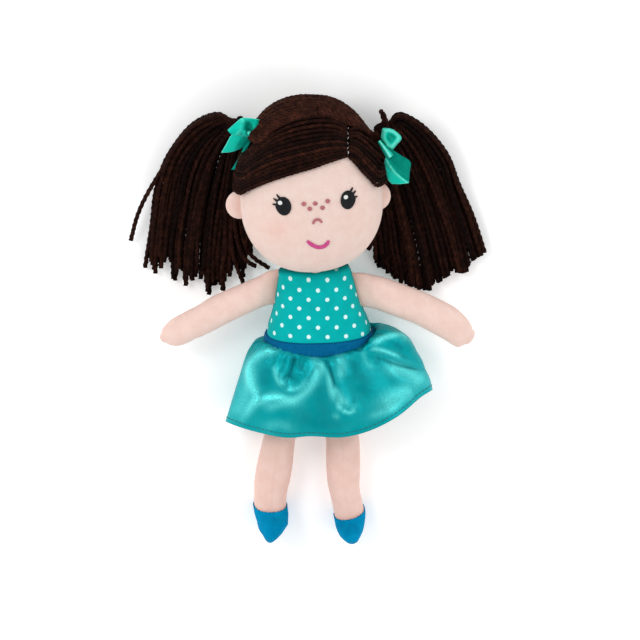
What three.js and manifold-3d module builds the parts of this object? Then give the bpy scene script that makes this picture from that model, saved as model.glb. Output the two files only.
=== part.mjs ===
// A soft rag doll lying on its back: stuffed plush skin, yarn hair in two ponytails with ribbon bows,
// a knitted bodice, a waistband and a gathered satin skirt.
// Millimetres. X runs to the doll's left, Y to the top of its head and Z out of its front.
// The waistband's top edge is at Y 0 and the surface it lies on is at Z 0 while it is built.

import * as THREE from "three";
import { mergeVertices } from "three/addons/utils/BufferGeometryUtils.js";
import Module from "manifold-3d";

const wasm = await Module();
wasm.setup();

// Cloth and clearances
const clothThickness = 1.0;
const gap = 0.3;
const turningGap = 0.5;
const restDepth = 0.5;
const headRest = 1.1;

// Head
const headWidth = 92;
const headAbove = 64;
const headBelow = 47;
const headDepth = 69;
const headTurn = 5;
const headShift = 1;
const hairThickness = 3.5;
const napeDrop = 30;
const partingWidth = 2.2;
const partingStroke = 1.2;
const partingLift = 2.2;
const earSize = 18;
const earThickness = 6.4;
const eyeWidth = 9.2;
const eyeHeight = 12;
const eyeSpacing = 41.6;
const eyeLift = 6.8;
const lashLength = 5;
const lashStroke = 1;
const threadHeight = 0.8;
const mouthWidth = 13.8;
const mouthDrop = 20;
const mouthStroke = 2.4;
const noseWidth = 5.4;
const noseDrop = 4.2;
const noseStroke = 1.5;
const freckleSize = 3;

// Neck
const neckRadius = 9.5;
const neckHeight = 27;
const neckRise = 3;
const neckSeamThickness = 0.8;
const chinGap = 2.6;

// Torso
const bodiceLength = 40;
const neckWidth = 45;
const chestWidth = 57;
const waistWidth = 68;
const torsoDepth = 44;
const hipLength = 44;
const hipWidth = 54;
const hipSway = 7;
const seamHeight = 14;
const seamThickness = 6;
const bandWidth = 9;
const bandThickness = 1.2;

// Arms
const armReach = 80;
const armRootWidth = 22;
const armWidth = 17.8;
const handWidth = 18.6;
const armDepth = 16.4;
const armHeight = 24.5;
const shoulderDrop = 11;
const armDroopRight = 25;
const armDroopLeft = 34;
const armDipRight = 4;
const armDipLeft = 5;

// Seam tabs that join the limbs to the torso
const tabThickness = 2.6;
const tabLength = 2.5;
const armTabWidth = 16;
const legTabWidth = 14;

// Legs and shoes
const legSpacing = 30;
const legLength = 64;
const legRoot = 5.5;
const legWidth = 22.4;
const ankleWidth = 20.4;
const legDepth = 21;
const footLength = 36.5;
const footHeight = 21.5;
const shoeWidth = 22.6;
const legSplayRight = 14.6;
const legSplayLeft = 3.3;

// Skirt
const skirtThickness = 1.2;
const skirtLength = 57;
const skirtWidth = 133;
const skirtRise = 43;
const skirtPuff = 8;
const skirtLiftRight = 0.13;
const skirtLiftLeft = 0.36;
const skirtSway = 3.3;
const skirtSideLift = 4;
const foldCount = 8;
const foldDepth = 3;

// Ponytails, ties and bows
const lockWidth = 17;
const lockThickness = 8.4;
const bunchRadius = 6.2;
const tieThickness = 2.2;
const ribbonWidth = 11.5;
const ribbonThickness = 0.8;
const knotRadius = 3.4;

// Colours
const skin = 0xf3d9cf;
const hair = 0x3a1f1a;
const filling = 0xf4f1ea;
const ribbon = 0x17b59a;
const knit = 0x0db5ae;
const band = 0x0b62a5;
const satin = 0x0c9fa3;
const shoe = 0x0a7fb8;
const eyeThread = 0x1d2024;
const mouthThread = 0xda4c94;
const freckleThread = 0xb5646c;
const seamThread = 0xd8d2c8;
const elastic = 0x1c1513;

const vec = (x, y, z) => new THREE.Vector3(x, y, z);
const far = 200;
const thinnest = 0.6;
const waistSeam = -bandWidth / 2;
const shoulderHeight = bodiceLength - shoulderDrop;
const headHeight = headDepth / 2 + gap + hairThickness - headRest;
const headCentre = vec(headShift, bodiceLength + chinGap + headBelow, headHeight);
const neckPivot = vec(headShift, bodiceLength + neckRise, neckHeight);

// A closed body through rings of points; a ring of one point is a pointed end.
function loft(rings) {
  const points = [];
  const faces = [];
  const starts = rings.map((ring) => points.push(...ring) - ring.length);
  const end = (index, order) => {
    const ring = rings[index];
    if (ring.length === 1) return;
    const middle = ring.reduce((sum, p) => sum.add(p), vec(0, 0, 0)).divideScalar(ring.length);
    const tip = points.push(middle) - 1;
    for (let i = 0; i < ring.length; i++) {
      const edge = [starts[index] + i, starts[index] + ((i + 1) % ring.length)];
      faces.push([edge[order], edge[1 - order], tip]);
    }
  };
  end(0, 1);
  for (let r = 0; r + 1 < rings.length; r++) {
    const [a, b] = [starts[r], starts[r + 1]];
    const sides = Math.max(rings[r].length, rings[r + 1].length);
    for (let i = 0; i < sides; i++) {
      const j = (i + 1) % sides;
      if (rings[r].length > 1) faces.push([a + i, a + j, rings[r + 1].length > 1 ? b + i : b]);
      if (rings[r + 1].length > 1) faces.push([rings[r].length > 1 ? a + j : a, b + j, b + i]);
    }
  }
  end(rings.length - 1, 0);
  return outward(points, faces);
}

// The faces as a geometry, turned so that they point outwards.
function outward(points, faces) {
  let volume = 0;
  const cross = new THREE.Vector3();
  for (const [a, b, c] of faces) volume += points[a].dot(cross.crossVectors(points[b], points[c]));
  const index = volume < 0 ? faces.flatMap(([a, b, c]) => [a, c, b]) : faces.flat();
  const geometry = new THREE.BufferGeometry();
  geometry.setAttribute("position", new THREE.Float32BufferAttribute(points.flatMap((p) => p.toArray()), 3));
  geometry.setIndex(index);
  return geometry;
}

// A ring of points round a centre; a power over 2 makes the oval squarer.
function oval(centre, across, through, sides, power = 2) {
  const ring = [];
  for (let i = 0; i < sides; i++) {
    const angle = (2 * Math.PI * (i + 0.5)) / sides;
    const [c, s] = [Math.cos(angle), Math.sin(angle)];
    const a = Math.sign(c) * Math.abs(c) ** (2 / power);
    const t = Math.sign(s) * Math.abs(s) ** (2 / power);
    ring.push(centre.clone().addScaledVector(across, a).addScaledVector(through, t));
  }
  return ring;
}

// A closed geometry as a solid that can be joined and cut.
function solid(geometry) {
  const bare = geometry.clone();
  for (const name of Object.keys(bare.attributes)) if (name !== "position") bare.deleteAttribute(name);
  const merged = mergeVertices(bare, 1e-5);
  const vertProperties = new Float32Array(merged.attributes.position.array);
  const triVerts = new Uint32Array(merged.index.array);
  return new wasm.Manifold(new wasm.Mesh({ numProp: 3, vertProperties, triVerts }));
}

function block(corner, opposite) {
  const [low, high] = [corner.clone().min(opposite), corner.clone().max(opposite)];
  const size = high.clone().sub(low);
  const centre = high.clone().add(low).multiplyScalar(0.5);
  return solid(new THREE.BoxGeometry(size.x, size.y, size.z).translate(centre.x, centre.y, centre.z));
}

function ball(centre, radius, around = 16, down = 12) {
  return solid(new THREE.SphereGeometry(radius, around, down).translate(centre.x, centre.y, centre.z));
}

// A flat outline in X and Y made thick along Z.
function prism(points, low, high) {
  const shape = new THREE.Shape(points.map(([x, y]) => new THREE.Vector2(x, y)));
  const geometry = new THREE.ExtrudeGeometry(shape, { depth: high - low, bevelEnabled: false });
  return solid(geometry.translate(0, 0, low));
}

// The block under the surface that the doll lies on, seen from inside a turned group.
function underFloor(group) {
  group.updateWorldMatrix(true, false);
  const geometry = new THREE.BoxGeometry(4 * far, 4 * far, far).translate(0, 0, -far / 2);
  return solid(geometry.applyMatrix4(group.matrixWorld.clone().invert()));
}

function addPiece(group, name, body, color, roughness) {
  const mesh = body.getMesh();
  const geometry = new THREE.BufferGeometry();
  geometry.setAttribute("position", new THREE.BufferAttribute(new Float32Array(mesh.vertProperties), 3));
  geometry.setIndex(new THREE.BufferAttribute(new Uint32Array(mesh.triVerts), 1));
  geometry.computeVertexNormals();
  const piece = new THREE.Mesh(geometry, new THREE.MeshStandardMaterial({ color, roughness }));
  piece.name = name;
  group.add(piece);
}

const doll = new THREE.Group();
const head = new THREE.Group();
head.position.copy(headCentre);
head.rotation.y = THREE.MathUtils.degToRad(headTurn);
doll.add(head);
doll.updateMatrixWorld(true);
const inHead = (point) => head.worldToLocal(point.clone());

// Torso rows: height, half width, half depth, sideways shift and height above the surface
const torsoSides = 20;
const torsoSquare = 2.4;
const chestLevel = 0.37;
const halfDepth = torsoDepth / 2;
const backClear = bandThickness + gap;
const torsoRows = [
  [bodiceLength, 0.4 * neckWidth, 0.4 * halfDepth, 0, neckHeight - 1],
  [bodiceLength - 3.5, 0.5 * neckWidth, 0.68 * halfDepth, 0, neckHeight - 2.5],
  [shoulderHeight, (neckWidth + chestWidth) / 4, 0.93 * halfDepth, 0, halfDepth + 0.6],
  [chestLevel * bodiceLength, chestWidth / 2, halfDepth, 0, halfDepth - restDepth],
  [0.1 * bodiceLength, 0.95 * waistWidth / 2, halfDepth, 0, halfDepth + 0.6 * backClear],
  [waistSeam, waistWidth / 2, halfDepth, 0, halfDepth + backClear],
  [-0.42 * hipLength, 0.97 * waistWidth / 2, 0.93 * halfDepth, -0.35 * hipSway, 0.93 * halfDepth + 1.9],
  [-0.75 * hipLength, 0.9 * waistWidth / 2, 0.56 * halfDepth, -0.75 * hipSway, seamHeight + 1],
  [-hipLength, hipWidth / 2, seamThickness / 2, -hipSway, seamHeight],
];

function torsoForm(grow) {
  const rings = torsoRows.map(([y, width, depth, x, z], i) => {
    const end = i === 0 ? grow : i === torsoRows.length - 1 ? -grow : 0;
    const deep = Math.max(depth + grow, thinnest);
    return oval(vec(x, y + end, z), vec(width + grow, 0, 0), vec(0, 0, deep), torsoSides, torsoSquare);
  });
  return solid(loft(rings));
}

// Everything in front of (side 1) or behind (side -1) the torso's side seams.
function torsoHalf(side) {
  const rows = [[far, ...torsoRows[0].slice(1)], ...torsoRows, [-far, ...torsoRows.at(-1).slice(1)]];
  return solid(loft(rows.map(([y, , , , z]) => {
    const near = z + (side * gap) / 2;
    const away = near + side * far;
    return [vec(-far, y, near), vec(far, y, near), vec(far, y, away), vec(-far, y, away)];
  })));
}

const aboveY = (y) => block(vec(-far, y, -far), vec(far, far, far));
const belowY = (y) => block(vec(-far, -far, -far), vec(far, y, far));

function buildTorso() {
  const neckRoom = ball(neckPivot, neckRadius + turningGap);
  const shell = torsoForm(0).subtract(torsoForm(-clothThickness)).subtract(neckRoom);
  const cloth = shell.subtract(underFloor(doll));
  const bodice = cloth.intersect(aboveY(waistSeam + gap / 2));
  const hips = cloth.intersect(belowY(waistSeam - gap / 2));
  addPiece(doll, "bodice_front", bodice.intersect(torsoHalf(1)), knit, 0.75);
  addPiece(doll, "bodice_back", bodice.intersect(torsoHalf(-1)), knit, 0.75);
  addPiece(doll, "hip_front", hips.intersect(torsoHalf(1)), skin, 0.9);
  addPiece(doll, "hip_back", hips.intersect(torsoHalf(-1)), skin, 0.9);
  addPiece(doll, "torso_filling", torsoForm(-clothThickness - gap).subtract(neckRoom), filling, 1);

  const slice = aboveY(-bandWidth).intersect(belowY(0));
  const strip = torsoForm(gap + bandThickness).subtract(torsoForm(gap)).intersect(slice);
  addPiece(doll, "waistband", strip.subtract(underFloor(doll)), band, 0.8);
}

// The gathered skirt: it puffs out under the waistband and widens in soft folds down to its hem.
function buildSkirt() {
  const sides = 40;
  const top = -bandWidth - gap;
  const waist = waistWidth / 2 + 2 * gap;
  const spread = skirtWidth / 2 - waist;
  // How far down, how far out and how puffed each ring is
  const rows = [
    [0, 0, 0],
    [0.07, 0.28, 0.75],
    [0.22, 0.46, 1],
    [0.48, 0.66, 0.35],
    [0.75, 0.84, 0.08],
    [1, 1, 0],
  ];
  const ringAt = ([down, out, puff], inset) => {
    const ring = [];
    for (let i = 0; i < sides; i++) {
      const angle = (2 * Math.PI * (i + 0.5)) / sides;
      const [c, s] = [Math.cos(angle), Math.sin(angle)];
      const left = Math.max(c, 0) ** 1.5;
      const right = Math.max(-c, 0) ** 1.5;
      const front = Math.max(s, 0);
      const fold = foldDepth * down * front * Math.sin(foldCount * angle);
      const wide = waist + spread * out + skirtThickness - inset;
      const x = Math.sign(c) * Math.abs(c) ** (2 / torsoSquare) * wide;
      const deep = halfDepth + 2 * gap + skirtThickness - inset + 0.2 * skirtPuff * puff * front;
      const centre = THREE.MathUtils.lerp(halfDepth + backClear, skirtRise / 2, down);
      const z = centre + Math.sign(s) * Math.abs(s) ** (2 / torsoSquare) * deep + fold * 0.6;
      const length = skirtLength * (1 - skirtLiftRight * right - skirtLiftLeft * left);
      const y = top - length * down + skirtPuff * puff * left;
      const rest = inset + skirtSideLift * down * c * c;
      ring.push(vec(x + skirtSway * down + 0.4 * fold * c, y, Math.max(z, rest)));
    }
    return ring;
  };
  const outer = rows.map((row) => ringAt(row, 0));
  const inner = rows.map((row) => ringAt(row, skirtThickness)).reverse();
  addPiece(doll, "skirt", tube([...outer, ...inner]), satin, 0.3);
}

// A closed skin through rings that come back to the first one.
function tube(rings) {
  const points = rings.flat();
  const sides = rings[0].length;
  const faces = [];
  rings.forEach((ring, r) => {
    const [a, b] = [r * sides, ((r + 1) % rings.length) * sides];
    for (let i = 0; i < sides; i++) {
      const j = (i + 1) % sides;
      faces.push([a + i, a + j, b + i], [a + j, b + j, b + i]);
    }
  });
  return solid(outward(points, faces));
}

// The neck is a short stuffed ball between two round seats, so that the head tilts, nods and turns on it.
function buildNeck() {
  addPiece(doll, "neck", ball(neckPivot, neckRadius), skin, 0.9);
  const [inner, outer] = [neckRadius + turningGap, neckRadius + turningGap + neckSeamThickness];
  const profile = [];
  const [low, high, steps] = [0.28, 0.85, 3];
  for (let i = 0; i <= steps; i++) {
    const angle = THREE.MathUtils.lerp(low, high, i / steps);
    profile.push(new THREE.Vector2(outer * Math.cos(angle), outer * Math.sin(angle)));
  }
  for (let i = steps; i >= 0; i--) {
    const angle = THREE.MathUtils.lerp(low, high, i / steps);
    profile.push(new THREE.Vector2(inner * Math.cos(angle), inner * Math.sin(angle)));
  }
  profile.push(profile[0].clone());
  const ring = new THREE.LatheGeometry(profile, 20).translate(neckPivot.x, neckPivot.y, neckPivot.z);
  addPiece(doll, "neck_seam", solid(ring), skin, 0.9);
}

// How far each lash leans up from the eye's side, in radians
const lashLeans = [0.95, 0.6, 0.25];
const headRows = 12;
const headSides = 24;

function headForm(grow, sides = headSides, rows = headRows) {
  const rings = [[vec(0, -(headBelow + grow), 0)]];
  for (let i = 1; i < rows; i++) {
    const angle = -Math.PI / 2 + (Math.PI * i) / rows;
    const y = Math.sin(angle) * (angle < 0 ? headBelow + grow : headAbove + grow);
    const wide = (headWidth / 2 + grow) * Math.cos(angle);
    const deep = (headDepth / 2 + grow) * Math.cos(angle);
    rings.push(oval(vec(0, y, 0), vec(wide, 0, 0), vec(0, 0, deep), sides));
  }
  rings.push([vec(0, headAbove + grow, 0)]);
  return solid(loft(rings));
}

const front = () => block(vec(-far, -far, gap / 2), vec(far, far, far));
const behind = () => block(vec(-far, -far, -far), vec(far, far, -gap / 2));
const ellipse = (x, y, width, height, sides) => {
  const points = [];
  for (let i = 0; i < sides; i++) {
    const angle = (2 * Math.PI * i) / sides;
    points.push([x + (width / 2) * Math.cos(angle), y + (height / 2) * Math.sin(angle)]);
  }
  return points;
};

// A band of thread along a path, square across it.
function stroke(path, width) {
  const curve = new THREE.QuadraticBezierCurve(...path.map(([x, y]) => new THREE.Vector2(x, y)));
  const steps = 6;
  const [one, other] = [[], []];
  for (let i = 0; i <= steps; i++) {
    const p = curve.getPoint(i / steps);
    const t = curve.getTangent(i / steps);
    one.push([p.x - (t.y * width) / 2, p.y + (t.x * width) / 2]);
    other.unshift([p.x + (t.y * width) / 2, p.y - (t.x * width) / 2]);
  }
  return [...one, ...other];
}

function buildFace() {
  const neckRoom = ball(inHead(neckPivot), neckRadius + 2 * turningGap + neckSeamThickness);
  const shell = headForm(0).subtract(headForm(-clothThickness)).subtract(neckRoom);
  addPiece(head, "face_panel", shell.intersect(front()), skin, 0.9);
  addPiece(head, "head_back", shell.intersect(behind()), skin, 0.9);
  const stuffing = headForm(-clothThickness - 3 * gap, 16, 9).subtract(neckRoom);
  addPiece(head, "head_filling", stuffing, filling, 1);

  const raised = headForm(gap + threadHeight).subtract(headForm(gap));
  const embroider = (outline) => prism(outline, 0, far).intersect(raised);
  for (const [name, side] of [["right_eye", -1], ["left_eye", 1]]) {
    const x = (side * eyeSpacing) / 2;
    let eye = prism(ellipse(x, eyeLift, eyeWidth, eyeHeight, 14), 0, far);
    for (const lean of lashLeans) {
      const along = [side * Math.cos(lean), Math.sin(lean)];
      const root = [x + along[0] * 0.35 * eyeWidth, eyeLift + along[1] * 0.35 * eyeHeight + 1];
      const tip = [root[0] + along[0] * lashLength, root[1] + along[1] * lashLength];
      const halfway = [(root[0] + tip[0]) / 2, (root[1] + tip[1]) / 2];
      eye = eye.add(prism(stroke([root, halfway, tip], lashStroke), 0, far));
    }
    addPiece(head, name, eye.intersect(raised), eyeThread, 0.5);
  }
  const smile = [[0.5 - mouthWidth / 2, 2.4], [0.6, -4.6], [0.5 + mouthWidth / 2, 1.2]];
  const arch = [[-noseWidth / 2, -1], [0, 2.6], [noseWidth / 2, -0.9]];
  const lowered = (path, drop) => path.map(([x, y]) => [x, y - drop]);
  addPiece(head, "mouth", embroider(stroke(lowered(smile, mouthDrop), mouthStroke)), mouthThread, 0.5);
  addPiece(head, "nose", embroider(stroke(lowered(arch, noseDrop), noseStroke)), freckleThread, 0.5);
  const freckles = [[-7.3, 7.8], [-3.7, 4.5], [0, 7.4], [4.4, 4.4], [7.9, 8.1]];
  freckles.forEach(([x, y], i) => {
    const dot = embroider(ellipse(x, y, freckleSize, freckleSize, 8));
    addPiece(head, "freckle_" + (i + 1), dot, freckleThread, 0.5);
  });
}

function earForm(side, grow) {
  const rings = [];
  const steps = 6;
  const centre = vec(side * (headWidth / 2 + 0.5), 0.5, -2.5);
  for (let i = 0; i <= steps; i++) {
    const angle = -Math.PI / 2 + (Math.PI * i) / steps;
    const at = centre.clone().setY(centre.y + (earSize / 2 + grow) * Math.sin(angle));
    const [wide, deep] = [0.48 * earSize + grow, earThickness / 2 + grow].map((r) => r * Math.cos(angle));
    rings.push(i % steps ? oval(at, vec(wide, 0, 0), vec(0, 0, deep), 10) : [at]);
  }
  return solid(loft(rings));
}

function buildEars() {
  for (const [name, side] of [["right_ear", -1], ["left_ear", 1]]) {
    addPiece(head, name, earForm(side, 0).subtract(headForm(gap)), skin, 0.9);
  }
}

// Where each ponytail is tied, and the way its bunch points
const ties = {
  right: { side: -1, at: vec(-38.5, 137.5, 30.4), out: vec(-0.9, 0.15, -0.4).normalize() },
  left: { side: 1, at: vec(47.5, 129, 30.4), out: vec(0.9, 0.15, -0.4).normalize() },
};

// The parting, the fringe's lower edge and the small front's lower edge, across and up from the head's middle
const parting = [[23.3, 35.2], [24.6, 51], [18, 60], [9, 80]];
const fringe = [
  [-60, 8],
  [-43, 15.6],
  [-35.7, 19.8],
  [-26.1, 25.7],
  [-11.6, 29.3],
  [4.7, 31.7],
  [13.2, 33.6],
];
const temple = [[29.2, 26.5], [36.9, 16.2], [42.9, 10.5], [60, 6]];

// Hair over the head: a swept fringe, a small front on the left, and two halves drawn to the ties behind.
function buildHair() {
  const shell = headForm(gap + hairThickness).subtract(headForm(gap));
  const apart = (side) => parting.map(([x, y]) => [x + (side * partingWidth) / 2, y]);
  const sweep = [...fringe, ...apart(-1), [-60, 80]];
  const corner = [...apart(1).reverse(), ...temple, [60, 80]];
  const ears = earForm(-1, gap).add(earForm(1, gap));
  const frontHair = shell.intersect(front()).subtract(ears);
  addPiece(head, "hair_front_right", frontHair.intersect(prism(sweep, 0, far)), hair, 0.85);
  addPiece(head, "hair_front_left", frontHair.intersect(prism(corner, 0, far)), hair, 0.85);

  const floor = underFloor(head);
  for (const [name, tie] of Object.entries(ties)) {
    const root = inHead(tie.at);
    const base = root.clone().multiply(vec(0.62, 0.72, 1.2));
    const [low, high] = [base.clone().lerp(root, 0.6), root.clone().lerp(base, 0.04)];
    const gather = [[base, 1.8 * bunchRadius], [low, 1.3 * bunchRadius], [high, bunchRadius + 1]];
    const rings = gather.map(([at, r]) => oval(at, vec(0.6 * r, -tie.side * 0.8 * r, 0), vec(0, 0, r), 12));
    const bunch = solid(loft(rings));
    const tieRoom = ball(root, bunchRadius + 3 * turningGap);
    const half = block(vec(tie.side * gap, -napeDrop, -far), vec(tie.side * far, far, -gap / 2));
    const drawn = shell.add(bunch).subtract(headForm(gap)).intersect(half);
    addPiece(head, "hair_back_" + name, drawn.subtract(ears).subtract(floor).subtract(tieRoom), hair, 0.85);
  }

  const groove = parting.slice(0, 3).map(([x, y]) => {
    const [wide, high, deep] = [headWidth / 2, headAbove, headDepth / 2].map((r) => r + gap + partingLift);
    return vec(x, y, deep * Math.sqrt(Math.max(1 - (x / wide) ** 2 - (y / high) ** 2, 0)));
  });
  const [across, through] = [vec(partingStroke / 2, 0, 0), vec(0, 0, partingStroke / 2)];
  const rings = groove.map((at) => oval(at, across, through, 6));
  addPiece(head, "parting_thread", solid(loft(rings)), seamThread, 0.6);
}

// The middle line of each lock, from the tie to its loose end
const lockLines = {
  right: [
    [[-55, 146, 25], [-72, 138, 18], [-87, 120, 12], [-96, 98, 8], [-101, 72, 6], [-105, 46, 5]],
    [[-53, 140, 24], [-66, 129, 17], [-78, 110, 11], [-85, 85, 8], [-90, 60, 6], [-92, 38, 5]],
    [[-50, 134, 23], [-60, 118, 15], [-68, 95, 10], [-74, 70, 7.5], [-78, 49, 6], [-79, 34, 5]],
    [[-48, 129, 22], [-53, 110, 14], [-58, 88, 9.5], [-62, 67, 7], [-65, 48, 6], [-66, 33, 5]],
    [[-45, 124, 21], [-47, 104, 12], [-50, 84, 8.5], [-52, 65, 6.5], [-54, 48, 5.5], [-55, 36, 5]],
    [[-46, 121, 16], [-41, 100, 8], [-41, 80, 6.5], [-42, 63, 6], [-43, 50, 5.5], [-43, 40, 5]],
  ],
  left: [
    [[59, 135, 25], [72, 126, 18], [83, 108, 12], [89, 86, 8], [95, 62, 6], [101, 41, 5]],
    [[57, 129, 23], [67, 116, 16], [75, 97, 10.5], [80, 76, 8], [85, 52, 6], [88, 32, 5]],
    [[55, 123, 21], [60, 106, 14], [66, 86, 9.5], [70, 66, 7], [73, 46, 6], [75, 28, 5]],
    [[52, 118, 20], [54, 99, 12], [57, 79, 8], [60, 60, 6.5], [62, 44, 5.5], [63, 31, 5]],
    [[50, 114, 18], [48, 95, 9], [48, 76, 6.5], [49, 59, 6], [50, 46, 5.5], [51, 36, 5]],
    [[51, 111, 14], [44, 92, 7], [40, 73, 6], [40, 59, 5.5], [41, 49, 5], [41, 42, 5]],
  ],
};

// How wide and how thick a lock is along its length, as parts of its full size
const lockSizes = [[0.25, 0.6], [0.5, 0.8], [0.85, 1], [1, 1], [1, 1], [0.85, 0.95], [0.55, 0.75]];

function buildPonytail(name, tie) {
  const sides = 7;
  const [start, neck] = [2, 8].map((distance) => tie.at.clone().addScaledVector(tie.out, distance));
  const up = vec(0, 0, 1);
  let tail = ball(tie.at, bunchRadius, 12, 8);
  const waist = [start, neck].map((at) => {
    const across = new THREE.Vector3().crossVectors(up, tie.out).setLength(bunchRadius);
    return oval(at, across, new THREE.Vector3().crossVectors(across, tie.out).setLength(bunchRadius), 12);
  });
  tail = tail.add(solid(loft(waist)));
  for (const line of lockLines[name]) {
    const path = [start, neck, ...line.map((p) => vec(...p))];
    const curve = new THREE.CatmullRomCurve3(path, false, "centripetal");
    const rings = lockSizes.map(([wide, thick], i) => {
      const t = (i + 0.5) / lockSizes.length;
      const across = new THREE.Vector3().crossVectors(up, curve.getTangent(t));
      const through = up.clone().multiplyScalar((thick * lockThickness) / 2);
      return oval(curve.getPoint(t), across.setLength((wide * lockWidth) / 2), through, sides);
    });
    tail = tail.add(solid(loft([...rings, [curve.getPoint(1)]])));
  }
  addPiece(doll, name + "_ponytail", tail.subtract(underFloor(doll)), hair, 0.85);

  const ring = new THREE.TorusGeometry(bunchRadius + 2 * gap + tieThickness / 2, tieThickness / 2, 6, 16);
  ring.applyQuaternion(new THREE.Quaternion().setFromUnitVectors(up, tie.out));
  const at = tie.at.clone().addScaledVector(tie.out, 5);
  addPiece(doll, name + "_hair_tie", solid(ring.translate(at.x, at.y, at.z)).subtract(tail), elastic, 0.8);
}

// A flat ribbon through points; each point gives its place and the way across the ribbon.
function ribbonStrip(stations) {
  const rings = stations.map(({ at, across, wide = ribbonWidth }, i) => {
    const ahead = stations[Math.min(i + 1, stations.length - 1)].at;
    const back = stations[Math.max(i - 1, 0)].at;
    const along = ahead.clone().sub(back).normalize();
    const side = across.clone().addScaledVector(along, -across.dot(along)).setLength(wide / 2);
    const up = new THREE.Vector3().crossVectors(side, along).setLength(ribbonThickness / 2);
    return [[1, 1], [-1, 1], [-1, -1], [1, -1]].map(([s, u]) => (
      at.clone().addScaledVector(side, s).addScaledVector(up, u)
    ));
  });
  return solid(loft(rings));
}

// A loop leaves the knot, turns over at its end and comes back behind itself.
function bowLoop(knot, angle, length, lift) {
  const along = vec(Math.cos(angle), Math.sin(angle), 0);
  const across = vec(-Math.sin(angle), Math.cos(angle), 0);
  const path = [[0, 0.6, 0.5], [0.35, 2.8, 0.95], [0.8, 3, 1], [1, 0.8, 1]];
  const back = [[0.92, -2, 1], [0.5, -2.5, 0.9], [0, -0.6, 0.5]];
  return ribbonStrip([...path, ...back].map(([out, rise, wide]) => ({
    at: knot.clone().addScaledVector(along, out * length).setZ(knot.z + rise + out * lift),
    across,
    wide: wide * ribbonWidth,
  })));
}

function bowTail(knot, angle, length, drop) {
  const along = vec(Math.cos(angle), Math.sin(angle), 0);
  const across = vec(-Math.sin(angle), Math.cos(angle), 0);
  const path = [[0, 0.5], [0.25, 0.85], [0.5, 1], [0.8, 1.05], [1, 1]];
  return ribbonStrip(path.map(([out, wide]) => ({
    at: knot.clone().addScaledVector(along, out * length).setZ(knot.z - 1 - drop * out),
    across,
    wide: wide * ribbonWidth,
  })));
}

// Each loop and tail has its direction in radians, its length and how far its end rises or drops.
const bows = {
  right: {
    knot: vec(-41.5, 139.5, 40.6),
    loops: [[1.05, 9, 19], [3.0, 14, -3]],
    tails: [[-2.3, 24, 4], [-2.05, 30, 13]],
  },
  left: {
    knot: vec(55, 122, 39.2),
    loops: [[1.35, 17, 1], [-2.7, 7, 3]],
    tails: [[-1.4, 32, 4.5], [-1.05, 22, 8]],
  },
};

function buildBow(name, { knot, loops, tails }) {
  const knotForm = new THREE.SphereGeometry(knotRadius, 10, 8).scale(1, 1, 0.75);
  let bow = solid(knotForm.translate(knot.x, knot.y, knot.z));
  for (const [angle, length, lift] of loops) bow = bow.add(bowLoop(knot, angle, length, lift));
  for (const [angle, length, drop] of tails) bow = bow.add(bowTail(knot, angle, length, drop));
  addPiece(doll, name + "_bow", bow, ribbon, 0.35);
}

// A flat seam tab. It is round along its hinge line at X 0, lies out along X and is as wide as Y says.
function tabForm(width, length) {
  const steps = 6;
  const section = [[length, tabThickness / 2], [length, -tabThickness / 2]];
  for (let i = 0; i <= steps; i++) {
    const angle = -Math.PI / 2 - (Math.PI * i) / steps;
    section.push([(Math.cos(angle) * tabThickness) / 2, (Math.sin(angle) * tabThickness) / 2]);
  }
  return solid(loft([-1, 1].map((end) => section.map(([x, z]) => vec(x, (end * width) / 2, z)))));
}

// The arm: round at its root and its hand and narrow between, in a front and a back panel.
function buildArm(name, side, droop, dip) {
  const sideLean = Math.atan((chestWidth - neckWidth) / 2 / (bodiceLength * (1 - chestLevel)));
  const hinge = tabThickness / 2 + 2 * gap;
  const rootRadius = armRootWidth / 2;
  const pivot = tabLength + gap + rootRadius;
  const reach = armReach - hinge - pivot;

  const shoulder = new THREE.Group();
  const out = (neckWidth + chestWidth) / 4 + hinge + dip * Math.tan(sideLean);
  shoulder.position.set(side * out, shoulderHeight - dip, armHeight);
  shoulder.rotation.z = side * sideLean;
  doll.add(shoulder);
  const disc = new THREE.CylinderGeometry(rootRadius + gap, rootRadius + gap, far, 40).rotateX(Math.PI / 2);
  const tab = tabForm(armTabWidth, tabLength + 0.3 * rootRadius);
  const seat = solid(disc.translate(pivot, 0, 0));
  addPiece(shoulder, name + "_arm_tab", mirrored(tab.subtract(seat), side), skin, 0.9);

  const arm = new THREE.Group();
  arm.position.x = side * pivot;
  arm.rotation.z = -side * (THREE.MathUtils.degToRad(droop) + sideLean);
  shoulder.add(arm);
  const [root, middle, hand, deep] = [rootRadius, armWidth / 2, handWidth / 2, armDepth / 2];
  const rows = [
    [-0.92 * root, 0.38 * root, 0.2 * deep],
    [-0.65 * root, 0.75 * root, 0.38 * deep],
    [-0.25 * root, 0.95 * root, 0.64 * deep],
    [0.3 * root, 0.98 * root, 0.86 * deep],
    [1.2 * root, 1.05 * middle, deep],
    [0.5 * reach, middle, deep],
    [reach - 2 * hand, 0.98 * hand, deep],
    [reach - hand, hand, 0.97 * deep],
    [reach - 0.4 * hand, 0.78 * hand, 0.78 * deep],
    [reach - 0.1 * hand, 0.42 * hand, 0.42 * deep],
  ];
  const form = (grow) => {
    const rings = rows.map(([x, wide, thick], i) => {
      const end = i === 0 ? -grow : i === rows.length - 1 ? grow : 0;
      const across = vec(0, wide + grow, 0);
      return oval(vec(side * (x + end), 0, 0), across, vec(0, 0, Math.max(thick + grow, thinnest)), 12);
    });
    return solid(loft([...rings, [vec(side * (reach + grow), 0, 0)]]));
  };
  const shell = form(0).subtract(form(-clothThickness));
  addPiece(arm, name + "_arm_front", shell.intersect(front()), skin, 0.9);
  addPiece(arm, name + "_arm_back", shell.intersect(behind()), skin, 0.9);
  addPiece(arm, name + "_arm_filling", form(-clothThickness - gap), filling, 1);
}

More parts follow.
